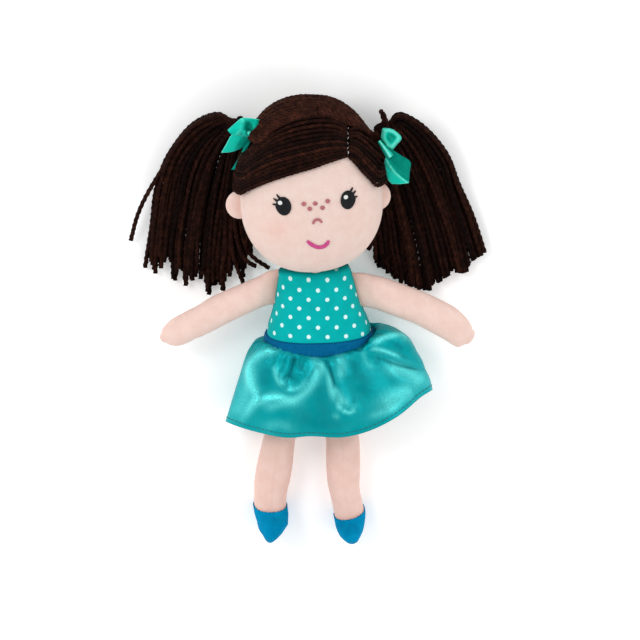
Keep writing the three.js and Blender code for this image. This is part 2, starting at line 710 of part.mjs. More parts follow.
// The same solid on the other side of the doll.
function mirrored(body, side) {
  if (side > 0) return body;
  const mesh = body.getMesh();
  const vertProperties = mesh.vertProperties.map((value, i) => (i % 3 ? value : -value));
  const triVerts = new Uint32Array(mesh.triVerts).reverse();
  return new wasm.Manifold(new wasm.Mesh({ numProp: 3, vertProperties, triVerts }));
}

const hips = new THREE.Group();

function buildHipSeam() {
  hips.position.set(-hipSway, -hipLength - gap - tabThickness / 2, seamHeight);
  hips.rotation.z = -Math.PI / 2;
  doll.add(hips);
  addPiece(hips, "hip_seam", tabForm(0.94 * hipWidth, tabLength), skin, 0.9);
}

// The leg and its shoe: a stuffed tube that bends forwards into a pointed foot, in an inner and an outer
// half with the seam down the front. X runs down the leg here and Y across it.
function buildLeg(name, side, splay) {
  const tab = new THREE.Group();
  tab.position.set(tabLength + gap + tabThickness / 2, (side * legSpacing) / 2, 0);
  hips.add(tab);
  addPiece(tab, name + "_leg_tab", tabForm(legTabWidth, tabLength), skin, 0.9);

  const leg = new THREE.Group();
  leg.position.x = tabLength + gap + legRoot;
  leg.rotation.z = side * THREE.MathUtils.degToRad(splay);
  tab.add(leg);
  const [wide, ankle, foot] = [legWidth / 2, ankleWidth / 2, shoeWidth / 2];
  const low = -restDepth;
  const sole = legLength + footHeight;
  // How far down the leg the front and the back of each ring lie, and how high above the surface
  const rows = [
    [0.2 * wide, 0.5, seamHeight + 0.8, 0.5, seamHeight - 0.8],
    [0.4 * wide, 2.3, seamHeight + 1.6, 2.3, seamHeight - 1.6],
    [0.72 * wide, 5, seamHeight + 2.8, 5, seamHeight - 2.8],
    [0.93 * wide, 9, seamHeight + 4.3, 9, seamHeight - 5],
    [wide, 0.22 * legLength, 0.96 * legDepth, 0.22 * legLength, 0.3 * legDepth],
    [wide, 0.38 * legLength, 1.01 * legDepth, 0.38 * legLength, 0.13 * legDepth],
    [0.98 * wide, 0.64 * legLength, legDepth, 0.64 * legLength, 0.02 * legDepth],
    [0.45 * (wide + ankle), 0.86 * legLength, 0.98 * legDepth, 0.86 * legLength, low],
    [ankle, legLength, 0.98 * legDepth, legLength + 0.09 * footHeight, low],
    [0.97 * foot, legLength + 0.19 * footHeight, 0.62 * footLength, legLength + 0.58 * footHeight, low],
    [foot, legLength + 0.3 * footHeight, 0.74 * footLength, sole - 0.07 * footHeight, 0.15 * footLength],
    [0.94 * foot, legLength + 0.44 * footHeight, 0.86 * footLength, sole, 0.42 * footLength],
    [0.7 * foot, legLength + 0.6 * footHeight, 0.95 * footLength, sole, 0.7 * footLength],
  ];
  const form = (grow) => {
    const rings = rows.map(([half, frontX, frontZ, backX, backZ], i) => {
      const forward = vec(frontX - backX, 0, frontZ - backZ).multiplyScalar(0.5);
      const end = legRoot + (i === 0 ? grow : 0);
      const centre = vec((frontX + backX) / 2 - end, 0, (frontZ + backZ) / 2 - seamHeight);
      const thick = Math.max(forward.length() + grow, thinnest);
      return oval(centre, vec(0, half + grow, 0), forward.setLength(thick), 12);
    });
    const toe = vec(legLength + 0.88 * footHeight - legRoot + grow * 0.4, 0, footLength + grow - seamHeight);
    return solid(loft([...rings, [toe]]));
  };
  const throat = (z) => legLength - legRoot - 1.2 + 0.27 * z;
  const corners = [[-far, throat], [far, throat], [far, () => 2 * far], [-far, () => 2 * far]];
  const below = (shift) => solid(loft([-far, far].map((y) => (
    corners.map(([z, x]) => vec(x(z) + shift, y, z - seamHeight))
  ))));
  const half = (sign) => {
    return block(vec(-far, (sign * gap) / 2, -far), vec(2 * far, sign * far, far));
  };
  const shell = form(0).subtract(form(-clothThickness)).subtract(underFloor(leg));
  const [legCloth, shoeCloth] = [shell.subtract(below(-gap / 2)), shell.intersect(below(gap / 2))];
  for (const [part, sign] of [["inner", -side], ["outer", side]]) {
    addPiece(leg, name + "_leg_" + part, legCloth.intersect(half(sign)), skin, 0.9);
    addPiece(leg, name + "_shoe_" + part, shoeCloth.intersect(half(sign)), shoe, 0.85);
  }
  addPiece(leg, name + "_leg_filling", form(-clothThickness - gap), filling, 1);
}

buildTorso();
buildSkirt();
buildNeck();
buildFace();
buildEars();
buildHair();
for (const [name, tie] of Object.entries(ties)) buildPonytail(name, tie);
for (const [name, bow] of Object.entries(bows)) buildBow(name, bow);
buildArm("right", -1, armDroopRight, armDipRight);
buildArm("left", 1, armDroopLeft, armDipLeft);
buildHipSeam();
buildLeg("right", -1, legSplayRight);
buildLeg("left", 1, legSplayLeft);

// The finished doll stands with its origin under the middle of its box.
const box = new THREE.Box3().setFromObject(doll, true);
const middle = box.getCenter(vec(0, 0, 0));
doll.position.set(-middle.x, -middle.y, -box.min.z);
const part = new THREE.Group();
part.add(doll);

export default part;
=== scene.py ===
import math
import bpy
import bmesh
import numpy as np
from mathutils import Matrix, Vector, noise


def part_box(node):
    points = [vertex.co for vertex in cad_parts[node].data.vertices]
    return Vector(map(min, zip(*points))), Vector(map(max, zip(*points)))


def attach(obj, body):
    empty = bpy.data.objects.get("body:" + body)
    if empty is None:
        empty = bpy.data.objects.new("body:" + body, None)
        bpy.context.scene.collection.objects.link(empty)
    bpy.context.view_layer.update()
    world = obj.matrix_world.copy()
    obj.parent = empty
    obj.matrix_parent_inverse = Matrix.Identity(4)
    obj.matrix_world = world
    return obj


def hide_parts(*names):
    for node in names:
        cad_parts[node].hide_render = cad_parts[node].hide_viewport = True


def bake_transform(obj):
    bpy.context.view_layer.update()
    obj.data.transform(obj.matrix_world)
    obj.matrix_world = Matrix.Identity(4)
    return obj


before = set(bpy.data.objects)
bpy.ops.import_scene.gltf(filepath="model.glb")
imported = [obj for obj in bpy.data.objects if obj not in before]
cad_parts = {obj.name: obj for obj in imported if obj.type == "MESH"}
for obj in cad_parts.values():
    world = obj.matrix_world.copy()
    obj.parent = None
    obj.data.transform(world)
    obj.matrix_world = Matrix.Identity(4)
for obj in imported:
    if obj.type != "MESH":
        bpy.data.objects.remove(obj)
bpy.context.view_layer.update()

# A soft rag doll lying on its back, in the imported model's frame.
# Lengths below are in millimetres from the middle of the waistband's top edge: X to the doll's left,
# Y to the top of its head, Z out of its front. place() turns them into the frame's metres.

neckLow, neckHigh = (np.array(corner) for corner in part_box("neck"))
neckPivot = np.array((1.0, 43.0, 27.0))
origin = (neckLow + neckHigh) / 2 - neckPivot / 1000
random = np.random.default_rng(11)


def place(points):
    return np.asarray(points, float) / 1000 + origin


# the photograph's view, which also places what is read off it

view = {
    "mmPerPixel": 0.645,
    "roll": 3.5,  # degrees the doll lies turned in the picture
    "raise": 16.0,  # degrees the camera leans to the top of the head
    "distance": 15.0,  # metres, far enough for an almost level drawing
    "pixels": 640,
    "middle": (319, 310),  # the picture's place for the point below
    "offset": (0.3, 7.0, 1.5),  # millimetres across, up the picture, and up the doll
}
rollCos, rollSin = math.cos(math.radians(view["roll"])), math.sin(math.radians(view["roll"]))
leanCos, leanSin = math.cos(math.radians(view["raise"])), math.sin(math.radians(view["raise"]))


def fromPhoto(pixels, z):
    # the place whose picture is at these pixels and that lies z above the table
    pixels = np.asarray(pixels, float)
    z = np.broadcast_to(np.asarray(z, float), pixels.shape[:-1])
    across = (pixels[..., 0] - view["middle"][0]) * view["mmPerPixel"] + view["offset"][0]
    above = (view["middle"][1] - pixels[..., 1]) * view["mmPerPixel"]
    up = (above + z * leanSin) / leanCos + view["offset"][1]
    x, y = across * rollCos + up * rollSin, up * rollCos - across * rollSin - view["offset"][2]
    return np.stack([x, y, z], -1)


def toPhoto(points):
    p = np.asarray(points, float)
    high = p[..., 1] + view["offset"][2]
    across = p[..., 0] * rollCos - high * rollSin
    up = p[..., 0] * rollSin + high * rollCos
    column = view["middle"][0] + (across - view["offset"][0]) / view["mmPerPixel"]
    row = view["middle"][1] - ((up - view["offset"][1]) * leanCos - p[..., 2] * leanSin) / view["mmPerPixel"]
    return np.stack([column, row], -1)


def addObject(name, data):
    made = bpy.data.objects.new(name, data)
    bpy.context.collection.objects.link(made)
    return made


def addCamera():
    rightWay = Vector((rollCos, -rollSin, 0))
    upWay = Vector((leanCos * rollSin, leanCos * rollCos, -leanSin))
    backWay = rightWay.cross(upWay)
    data = bpy.data.cameras.new("photoCamera")
    data.sensor_width = 36
    data.lens = 36 * view["distance"] * 1000 / (view["mmPerPixel"] * view["pixels"])
    data.clip_end = 100
    camera = addObject("photoCamera", data)
    target = Vector(place(fromPhoto([320, 320], 0)))
    turn = Matrix((rightWay, upWay, backWay)).transposed().to_4x4()
    camera.matrix_world = Matrix.Translation(target + backWay * view["distance"]) @ turn
    bpy.context.scene.camera = camera


addCamera()

# small tools


def spline(rows, at):
    # a smooth line through rows of numbers, read at stations counted from 0
    rows = np.asarray(rows, float)
    at = np.asarray(at, float)
    ends = np.concatenate([[2 * rows[0] - rows[1]], rows, [2 * rows[-1] - rows[-2]]])
    i = np.clip(np.floor(at).astype(int), 0, len(rows) - 2)
    t = (at - i).reshape((-1,) + (1,) * (rows.ndim - 1))
    a, b, c, d = ends[i], ends[i + 1], ends[i + 2], ends[i + 3]
    return 0.5 * (2 * b + (c - a) * t + (2 * a - 5 * b + 4 * c - d) * t**2 + (3 * b - a - 3 * c + d) * t**3)


def reachOf(points):
    # how far along a line each of its points lies
    return np.concatenate([[0], np.cumsum(np.linalg.norm(np.diff(points, axis=0), axis=1))])


def readLine(points, reach, wanted):
    return np.stack([np.interp(wanted, reach, points[:, k]) for k in range(points.shape[1])], -1)


def along(path, count):
    # count points evenly spaced on a smooth line through path
    path = np.asarray(path, float)
    fine = spline(path, np.linspace(0, len(path) - 1, 12 * len(path)))
    reach = reachOf(fine)
    return readLine(fine, reach, np.linspace(0, reach[-1], count))


def aroundTurn(count, start=0.0):
    return np.linspace(0, 2 * math.pi, count, endpoint=False) + start


def ballWays(rows, sides, start=0.0):
    # the directions of a ball's rings of points, from its bottom up, without the two poles
    lat = np.linspace(-math.pi / 2, math.pi / 2, rows + 1)[1:-1, None]
    lon = aroundTurn(sides, start)[None]
    x, y, z = np.cos(lat) * np.cos(lon), np.sin(lat) * np.ones_like(lon), np.cos(lat) * np.sin(lon)
    return np.stack([x, y, z], -1)


def smoothStep(low, high, value):
    t = np.clip((np.asarray(value, float) - low) / (high - low), 0, 1)
    return t * t * (3 - 2 * t)


def superOval(angle, power):
    c, s = np.cos(angle), np.sin(angle)
    return np.sign(c) * np.abs(c) ** (2 / power), np.sign(s) * np.abs(s) ** (2 / power)


def distanceTo(points, path):
    # the distance of each flat point to a line, and how far along the line its nearest place is
    points, path = np.asarray(points, float), np.asarray(path, float)
    best = np.full(points.shape[:-1], 1e9)
    where = np.zeros(points.shape[:-1])
    for i in range(len(path) - 1):
        a, d = path[i], path[i + 1] - path[i]
        t = np.clip(((points - a) @ d) / (d @ d), 0, 1)
        away = np.linalg.norm(points - (a + t[..., None] * d), axis=-1)
        near = away < best
        best[near], where[near] = away[near], ((i + t) / (len(path) - 1))[near]
    return best, where


def makePiece(name, points, faces, finish, corners=None):
    mesh = bpy.data.meshes.new(name)
    mesh.from_pydata(place(points).tolist(), [], faces)
    if corners is not None:
        mesh.uv_layers.new(name="cloth").data.foreach_set("uv", np.asarray(corners, np.float32).ravel())
    mesh.update()
    mesh.shade_smooth()
    mesh.materials.append(finish)
    return addObject(name, mesh)


def faceOutwards(piece):
    form = bmesh.new()
    form.from_mesh(piece.data)
    bmesh.ops.recalc_face_normals(form, faces=form.faces)
    form.to_mesh(piece.data)
    form.free()
    return piece


def loft(name, rings, finish, cloth=None, capped=True):
    # a skin through closed rings; cloth holds each point's flat place in millimetres, the first one's twice
    rings = np.asarray(rings, float)
    rows, sides = rings.shape[:2]
    points, faces, corners = list(rings.reshape(-1, 3)), [], []
    for r in range(rows - 1):
        for i in range(sides):
            j = (i + 1) % sides
            faces.append((r * sides + i, r * sides + j, (r + 1) * sides + j, (r + 1) * sides + i))
            corners += [(r, i), (r, i + 1), (r + 1, i + 1), (r + 1, i)]
    for row in (0, rows - 1) if capped else ():
        points.append(rings[row].mean(0))
        for i in range(sides):
            faces.append((row * sides + i, row * sides + (i + 1) % sides, len(points) - 1))
            corners += [(row, i), (row, i + 1), (row, i)]
    if cloth is not None:
        corners = np.asarray(cloth, float)[tuple(np.array(corners).T)]
    piece = makePiece(name, points, faces, finish, corners if cloth is not None else None)
    return faceOutwards(piece) if capped else piece


def rowsAndColumns(rings, rowEnds, columnEnds):
    # which ring, and which place round it, each point of a capped loft has; the last two are its ends
    rows, sides = rings.shape[:2]
    row = np.concatenate([np.repeat(np.arange(rows), sides), rowEnds])
    return row, np.concatenate([np.tile(np.arange(sides), rows), columnEnds])


def paint(piece, name, values):
    # a mark on each point, which a finish reads; one number marks them all alike
    values = np.broadcast_to(values, len(piece.data.vertices)) if np.ndim(values) == 0 else np.ravel(values)
    mark = piece.data.attributes.new(name, "FLOAT", "POINT")
    mark.data.foreach_set("value", np.asarray(values, np.float32))


def join(name, *pieces):
    with bpy.context.temp_override(active_object=pieces[0], selected_editable_objects=list(pieces)):
        bpy.ops.object.join()
    pieces[0].name = pieces[0].data.name = name
    return pieces[0]


stuffing = {"pressure": 4.0, "frames": 20, "quality": 4, "mass": 0.15, "stiff": 6.0}


def stuff(piece, most, held):
    # the skin swells between its held seams as cloth under pressure, by at most so many millimetres
    flat = np.empty(len(piece.data.vertices) * 3, np.float32)
    piece.data.vertices.foreach_get("co", flat)
    seams = piece.vertex_groups.new(name="seams")
    seams.add(np.flatnonzero(held).tolist(), 1.0, "REPLACE")
    cloth = piece.modifiers.new("stuffing", "CLOTH")
    settings = cloth.settings
    settings.quality, settings.mass = stuffing["quality"], stuffing["mass"]
    settings.tension_stiffness = settings.compression_stiffness = stuffing["stiff"]
    settings.use_pressure, settings.uniform_pressure_force = True, stuffing["pressure"]
    settings.effector_weights.gravity = 0
    settings.vertex_group_mass = "seams"
    cloth.collision_settings.use_collision = False
    cloth.point_cache.frame_start, cloth.point_cache.frame_end = 1, stuffing["frames"]
    for moment in range(1, stuffing["frames"] + 1):
        bpy.context.scene.frame_set(moment)
    swollen = piece.evaluated_get(bpy.context.evaluated_depsgraph_get()).data
    after = np.empty_like(flat)
    swollen.vertices.foreach_get("co", after)
    piece.modifiers.remove(cloth)
    piece.vertex_groups.remove(seams)
    bpy.context.scene.frame_set(1)
    move = (after - flat).reshape(-1, 3)
    size = np.linalg.norm(move, axis=1, keepdims=True)
    print(piece.name, "swells by up to %.2f mm" % (size.max() * 1000))
    move *= most / 1000 / np.maximum(size, most / 1000)
    piece.data.vertices.foreach_set("co", flat + move.ravel())
    piece.data.update()
    return piece


def wear(piece, body, nodes=()):
    # the piece rides on its body and takes the place of its plain solids
    if body:
        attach(piece, body)
    if nodes:
        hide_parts(*nodes)
    return piece


# finishes


def linear(hexColour):
    parts = [int(hexColour[i : i + 2], 16) / 255 for i in (1, 3, 5)]
    return [c / 12.92 if c <= 0.04045 else ((c + 0.055) / 1.055) ** 2.4 for c in parts] + [1.0]


def addNode(tree, kind, inputs=None, **settings):
    # each input is a link, a colour as a hex value, or a plain value
    node = tree.nodes.new(kind)
    for name, value in settings.items():
        setattr(node, name, value)
    for socket, value in (inputs or {}).items():
        if isinstance(value, bpy.types.NodeSocket):
            tree.links.new(value, node.inputs[socket])
        else:
            node.inputs[socket].default_value = linear(value) if str(value).startswith("#") else value
    return node


def startFinish(name, **values):
    finish = bpy.data.materials.new(name)
    finish.use_nodes = True
    tree = finish.node_tree
    tree.nodes.clear()
    shader = addNode(
        tree, "ShaderNodeBsdfPrincipled", {key.replace("_", " "): value for key, value in values.items()}
    )
    addNode(tree, "ShaderNodeOutputMaterial", {"Surface": shader.outputs[0]})
    return finish, tree, shader


def inMillimetres(tree, flat=False):
    # places on the object, or on the flat cloth, in millimetres
    source = addNode(tree, "ShaderNodeTexCoord").outputs["UV" if flat else "Object"]
    return addNode(
        tree, "ShaderNodeMapping", {"Vector": source, "Scale": (1, 1, 1) if flat else (1000, 1000, 1000)}
    ).outputs[0]


def speckle(tree, where, size, detail=2.0, low=0.35, high=0.65):
    # soft patches of about this size, from none to full
    grain = addNode(tree, "ShaderNodeTexNoise", {"Vector": where, "Scale": 1 / size, "Detail": detail})
    return addNode(
        tree, "ShaderNodeMapRange", {"Value": grain.outputs[0], "From Min": low, "From Max": high}
    ).outputs[0]


def dyeAndPaintedLight(tree, shader, ground, coats, reliefs=()):
    # each coat covers what is under it by a pattern, and some coats lay painted shade and painted highlights;
    # each relief is a pattern with its height in millimetres
    colour, under = ground, {}
    for pattern, most, coat, *way in coats:
        share = addNode(tree, "ShaderNodeMath", {0: pattern, 1: most}, operation="MULTIPLY").outputs[0]
        mix = addNode(
            tree, "ShaderNodeMix", {0: share, 6: colour, 7: coat}, data_type="RGBA",
            blend_type=way[0] if way else "MIX"
        )
        colour = mix.outputs[2]
    tree.links.new(colour, shader.inputs["Base Color"])
    for pattern, deep in reliefs:
        relief = addNode(
            tree, "ShaderNodeBump", {"Height": pattern, "Distance": deep / 1000, "Strength": 1.0, **under}
        )
        under = {"Normal": relief.outputs[0]}
    if under:
        tree.links.new(under["Normal"], shader.inputs["Normal"])


def plushFinish(name, light, shade, glow, pile=0.55, sheen=0.18, gloss=0.1):
    # Short-pile velboa on a knitted ground: a matt, downy surface, its clipped fibres in faint knit rows.
    finish, tree, shader = startFinish(
        name, Roughness=0.92, Sheen_Weight=sheen, Sheen_Roughness=0.45, Sheen_Tint=glow,
        Specular_IOR_Level=gloss
    )
    patch, pitch = 7.0, 1.05  # millimetres
    where = inMillimetres(tree)
    paintedShade, blushAndWarmShade = (
        addNode(tree, "ShaderNodeAttribute", attribute_name=mark).outputs["Fac"]
        for mark in ("paintedShade", "blushAndWarmShade")
    )
    rows = addNode(
        tree, "ShaderNodeTexWave",
        {"Vector": where, "Scale": 1 / pitch / 3.14, "Distortion": 1.6, "Detail": 2.0, "Detail Scale": 2.0},
        bands_direction="X"
    ).outputs["Fac"]
    # painted shade darkens seams, roots and hollows; the blush mark is the cheeks' and legs' own warm tint
    # and, at the roots of the ears and arms, painted warm shade
    coats = [
        (speckle(tree, where, patch), 0.3, shade), (speckle(tree, where, pile, 3.0), 0.22, shade),
        (rows, 0.1, shade),
        (paintedShade, 1.0, shade, "MULTIPLY"), (blushAndWarmShade, 0.5, "#f0a58f"),
    ]
    dyeAndPaintedLight(tree, shader, light, coats, [(speckle(tree, where, pile, 3.0, 0.2, 0.8), 0.16), (rows, 0.05)])
    return finish


def knitFinish(name, ground, shade, dot):
    # Brushed jersey with a printed dot: fine wales run up it, and the dots sit in rows half a step apart.
    finish, tree, shader = startFinish(
        name, Roughness=0.8, Sheen_Weight=0.05, Sheen_Roughness=0.4, Specular_IOR_Level=0.06
    )
    pitch, wale, dotEdge = (12.1, 12.15), 0.9, (1.5, 1.15)  # millimetres
    where = inMillimetres(tree, flat=True)
    away = []
    for start in (0.0, 0.5):
        cell = addNode(
            tree, "ShaderNodeMapping",
            {"Vector": where, "Scale": (1 / pitch[0], 1 / pitch[1], 0), "Location": (start, start, 0)}
        ).outputs[0]
        for operation, by in (("FRACTION", None), ("SUBTRACT", (0.5, 0.5, 0)), ("MULTIPLY", (*pitch, 0))):
            cell = addNode(
                tree, "ShaderNodeVectorMath", {0: cell, 1: by} if by else {0: cell}, operation=operation
            ).outputs[0]
        away.append(addNode(tree, "ShaderNodeVectorMath", {0: cell}, operation="LENGTH").outputs["Value"])
    nearest = addNode(tree, "ShaderNodeMath", {0: away[0], 1: away[1]}, operation="MINIMUM").outputs[0]
    ragged = addNode(tree, "ShaderNodeTexNoise", {"Vector": where, "Scale": 1.6, "Detail": 2.0}).outputs[0]
    ragged = addNode(
        tree, "ShaderNodeMath", {0: ragged, 1: 0.5, 2: -0.25}, operation="MULTIPLY_ADD"
    ).outputs[0]
    edge = addNode(tree, "ShaderNodeMath", {0: nearest, 1: ragged}, operation="ADD").outputs[0]
    isDot = addNode(
        tree, "ShaderNodeMapRange", {"Value": edge, "From Min": dotEdge[0], "From Max": dotEdge[1]},
        interpolation_type="SMOOTHSTEP"
    ).outputs[0]
    wales = addNode(
        tree, "ShaderNodeTexWave", {"Vector": where, "Scale": 0.5 / wale, "Distortion": 0.6},
        bands_direction="X"
    ).outputs["Fac"]
    weave = addNode(tree, "ShaderNodeTexNoise", {"Vector": where, "Scale": 2.2, "Detail": 2.0}).outputs[0]
    paintedShade = addNode(tree, "ShaderNodeAttribute", attribute_name="paintedShade").outputs["Fac"]
    # the painted shade mark darkens the armholes, the seams and the band under the chin
    coats = [
        (speckle(tree, where, 9.0), 0.35, shade), (wales, 0.16, shade), (isDot, 1.0, dot),
        (paintedShade, 1.0, "#056e6b", "MULTIPLY")
    ]
    dyeAndPaintedLight(tree, shader, ground, coats, [(weave, 0.08), (wales, 0.06)])
    return finish


def bandFinish(name, ground, shade):
    # Ribbed cotton band: matt, with fine ribs across it and a soft bloom where it turns.
    finish, tree, shader = startFinish(
        name, Roughness=0.85, Sheen_Weight=0.03, Sheen_Roughness=0.4, Specular_IOR_Level=0.04
    )
    where = inMillimetres(tree, flat=True)
    ribs = addNode(
        tree, "ShaderNodeTexWave", {"Vector": where, "Scale": 0.45, "Distortion": 0.8, "Detail": 1.0},
        bands_direction="X"
    ).outputs["Fac"]
    paintedShade = addNode(tree, "ShaderNodeAttribute", attribute_name="paintedShade").outputs["Fac"]
    # the painted shade mark darkens both edges of the band
    coats = [
        (ribs, 0.35, shade), (speckle(tree, where, 1.4, 3.0), 0.3, "#0f7cb0"),
        (paintedShade, 1.0, shade, "MULTIPLY")
    ]
    dyeAndPaintedLight(tree, shader, ground, coats, [(ribs, 0.12)])
    return finish


def satinFinish(name, ground, light, shade, rough=0.3, metal=0.35, floats=0.45, grainy=0.5):
    # Polyester satin with long floats of thread: its broad, soft lustre is a painted highlight broken by
    # grain, and its deep hollows are painted shade.
    finish, tree, shader = startFinish(
        name, Roughness=rough, Metallic=metal, Anisotropic=0.3, Specular_IOR_Level=0.05
    )
    where = inMillimetres(tree, flat=True)
    paintedShade, paintedHighlight = (
        addNode(tree, "ShaderNodeAttribute", attribute_name=mark).outputs["Fac"]
        for mark in ("paintedShade", "paintedHighlight")
    )
    streaks = addNode(tree, "ShaderNodeMapping", {"Vector": where, "Scale": (1 / floats, 0.08, 1)}).outputs[0]
    thread = addNode(tree, "ShaderNodeTexNoise", {"Vector": streaks, "Scale": 1.0, "Detail": 2.0}).outputs[0]
    puckers = addNode(
        tree, "ShaderNodeTexNoise", {"Vector": where, "Scale": 0.28, "Detail": 3.0, "Roughness": 0.6}
    ).outputs[0]
    grain = addNode(
        tree, "ShaderNodeMath", {0: speckle(tree, where, 0.8, 4.0, 0.3, 0.7), 1: grainy, 2: 1 - grainy / 2},
        operation="MULTIPLY_ADD"
    ).outputs[0]
    broken = addNode(tree, "ShaderNodeMath", {0: paintedHighlight, 1: grain}, operation="MULTIPLY").outputs[0]
    # painted shade from one mark and painted highlights from the other, broken by grain
    coats = [
        (speckle(tree, where, 14.0), 0.06, light), (thread, 0.25, shade), (paintedShade, 1.0, shade),
        (broken, 1.0, light)
    ]
    dyeAndPaintedLight(tree, shader, ground, coats, [(puckers, 0.4), (thread, 0.02)])
    return finish


def yarnFinish(name, light, shade, warm):
    # Twisted acrylic yarn: matt and slightly hairy. Painted shade makes it nearly black in its grooves,
    # painted warm highlights lie on its turns, and each strand's shade mark mixes its own tone with painted
    # light.
    finish, tree, shader = startFinish(
        name, Roughness=0.7, Sheen_Weight=0.02, Sheen_Roughness=0.3, Sheen_Tint=warm, Specular_IOR_Level=0.06
    )
    where = inMillimetres(tree)
    strand, groove = (
        addNode(tree, "ShaderNodeAttribute", attribute_name=mark).outputs["Fac"]
        for mark in ("shade", "groove")
    )
    fibres = speckle(tree, where, 0.55, 3.0, 0.35, 0.75)
    patches = speckle(tree, where, 3.5, 2.0, 0.42, 0.72)
    turns = addNode(tree, "ShaderNodeMath", {0: fibres, 1: patches}, operation="MULTIPLY").outputs[0]
    known = addNode(tree, "ShaderNodeMath", {0: strand, 1: 1.0, 2: 0.2}, operation="MULTIPLY_ADD").outputs[0]
    # painted warm highlights, stronger on strands whose shade mark is painted lighter
    lit = addNode(tree, "ShaderNodeMath", {0: turns, 1: known}, operation="MULTIPLY").outputs[0]
    dyeAndPaintedLight(tree, shader, shade, [(strand, 1.0, light), (lit, 1.0, warm), (groove, 1.0, shade)], [(fibres, 0.25)])
    return finish


def threadFinish(name, ground, shade, rough=0.45, sheen=0.1, gloss=0.5):
    # Rayon embroidery thread: smooth parallel stitches with a silky shine along each one.
    finish, tree, shader = startFinish(name, Roughness=rough, Specular_IOR_Level=gloss, Sheen_Weight=sheen)
    dyeAndPaintedLight(tree, shader, ground, [(speckle(tree, inMillimetres(tree), 0.5), 1.0, shade)])
    return finish


skinPlush = plushFinish("velboaPlush", "#f5d9cf", "#e2b8aa", "#fff0ea")
skinFace = plushFinish("facePlush", "#eed8cf", "#dfbdb1", "#fff0ea", pile=0.6)
shoePlush = plushFinish("shoePlush", "#0093c2", "#006594", "#0a8cc4", pile=0.7, sheen=0.05, gloss=0.03)
dottedKnit = knitFinish("dottedJersey", "#00b7b5", "#009d9d", "#d8fbfa")
ribbedBand = bandFinish("ribbedCotton", "#00608f", "#004a78")
skirtSatin = satinFinish("polyesterSatin", "#00a6ac", "#6df0ee", "#006a75", rough=0.42, metal=0.5, grainy=1.1)
ribbonSatin = satinFinish("ribbonSatin", "#01c8b0", "#8bffe9", "#00806f", rough=0.36, metal=0.4, floats=0.35)
hairYarn = yarnFinish("acrylicYarn", "#3a1c14", "#0c0403", "#74402e")
# near-black painted shade under the hair, seen between the strands
hairGapShade = threadFinish("paintedShadeUnderHair", "#120806", "#0b0504", rough=0.95, sheen=0.0, gloss=0.05)
eyeThread = threadFinish("eyeThread", "#0c0e11", "#1b1f23", rough=0.55, sheen=0.02, gloss=0.2)
whiteThread = threadFinish("whiteThread", "#f4f4f2", "#dcdcda")
mouthThread = threadFinish("mouthThread", "#dd4b97", "#bb3079")
freckleThread = threadFinish("freckleThread", "#c47a80", "#a85a63")
skirtThread = threadFinish("hemThread", "#04727a", "#03545a")
elasticCord = threadFinish("coveredElastic", "#150c0a", "#0b0605", rough=0.9, sheen=0.0, gloss=0.08)
print("finishes made")

# strands: yarn, stitches and threads all follow this one tree


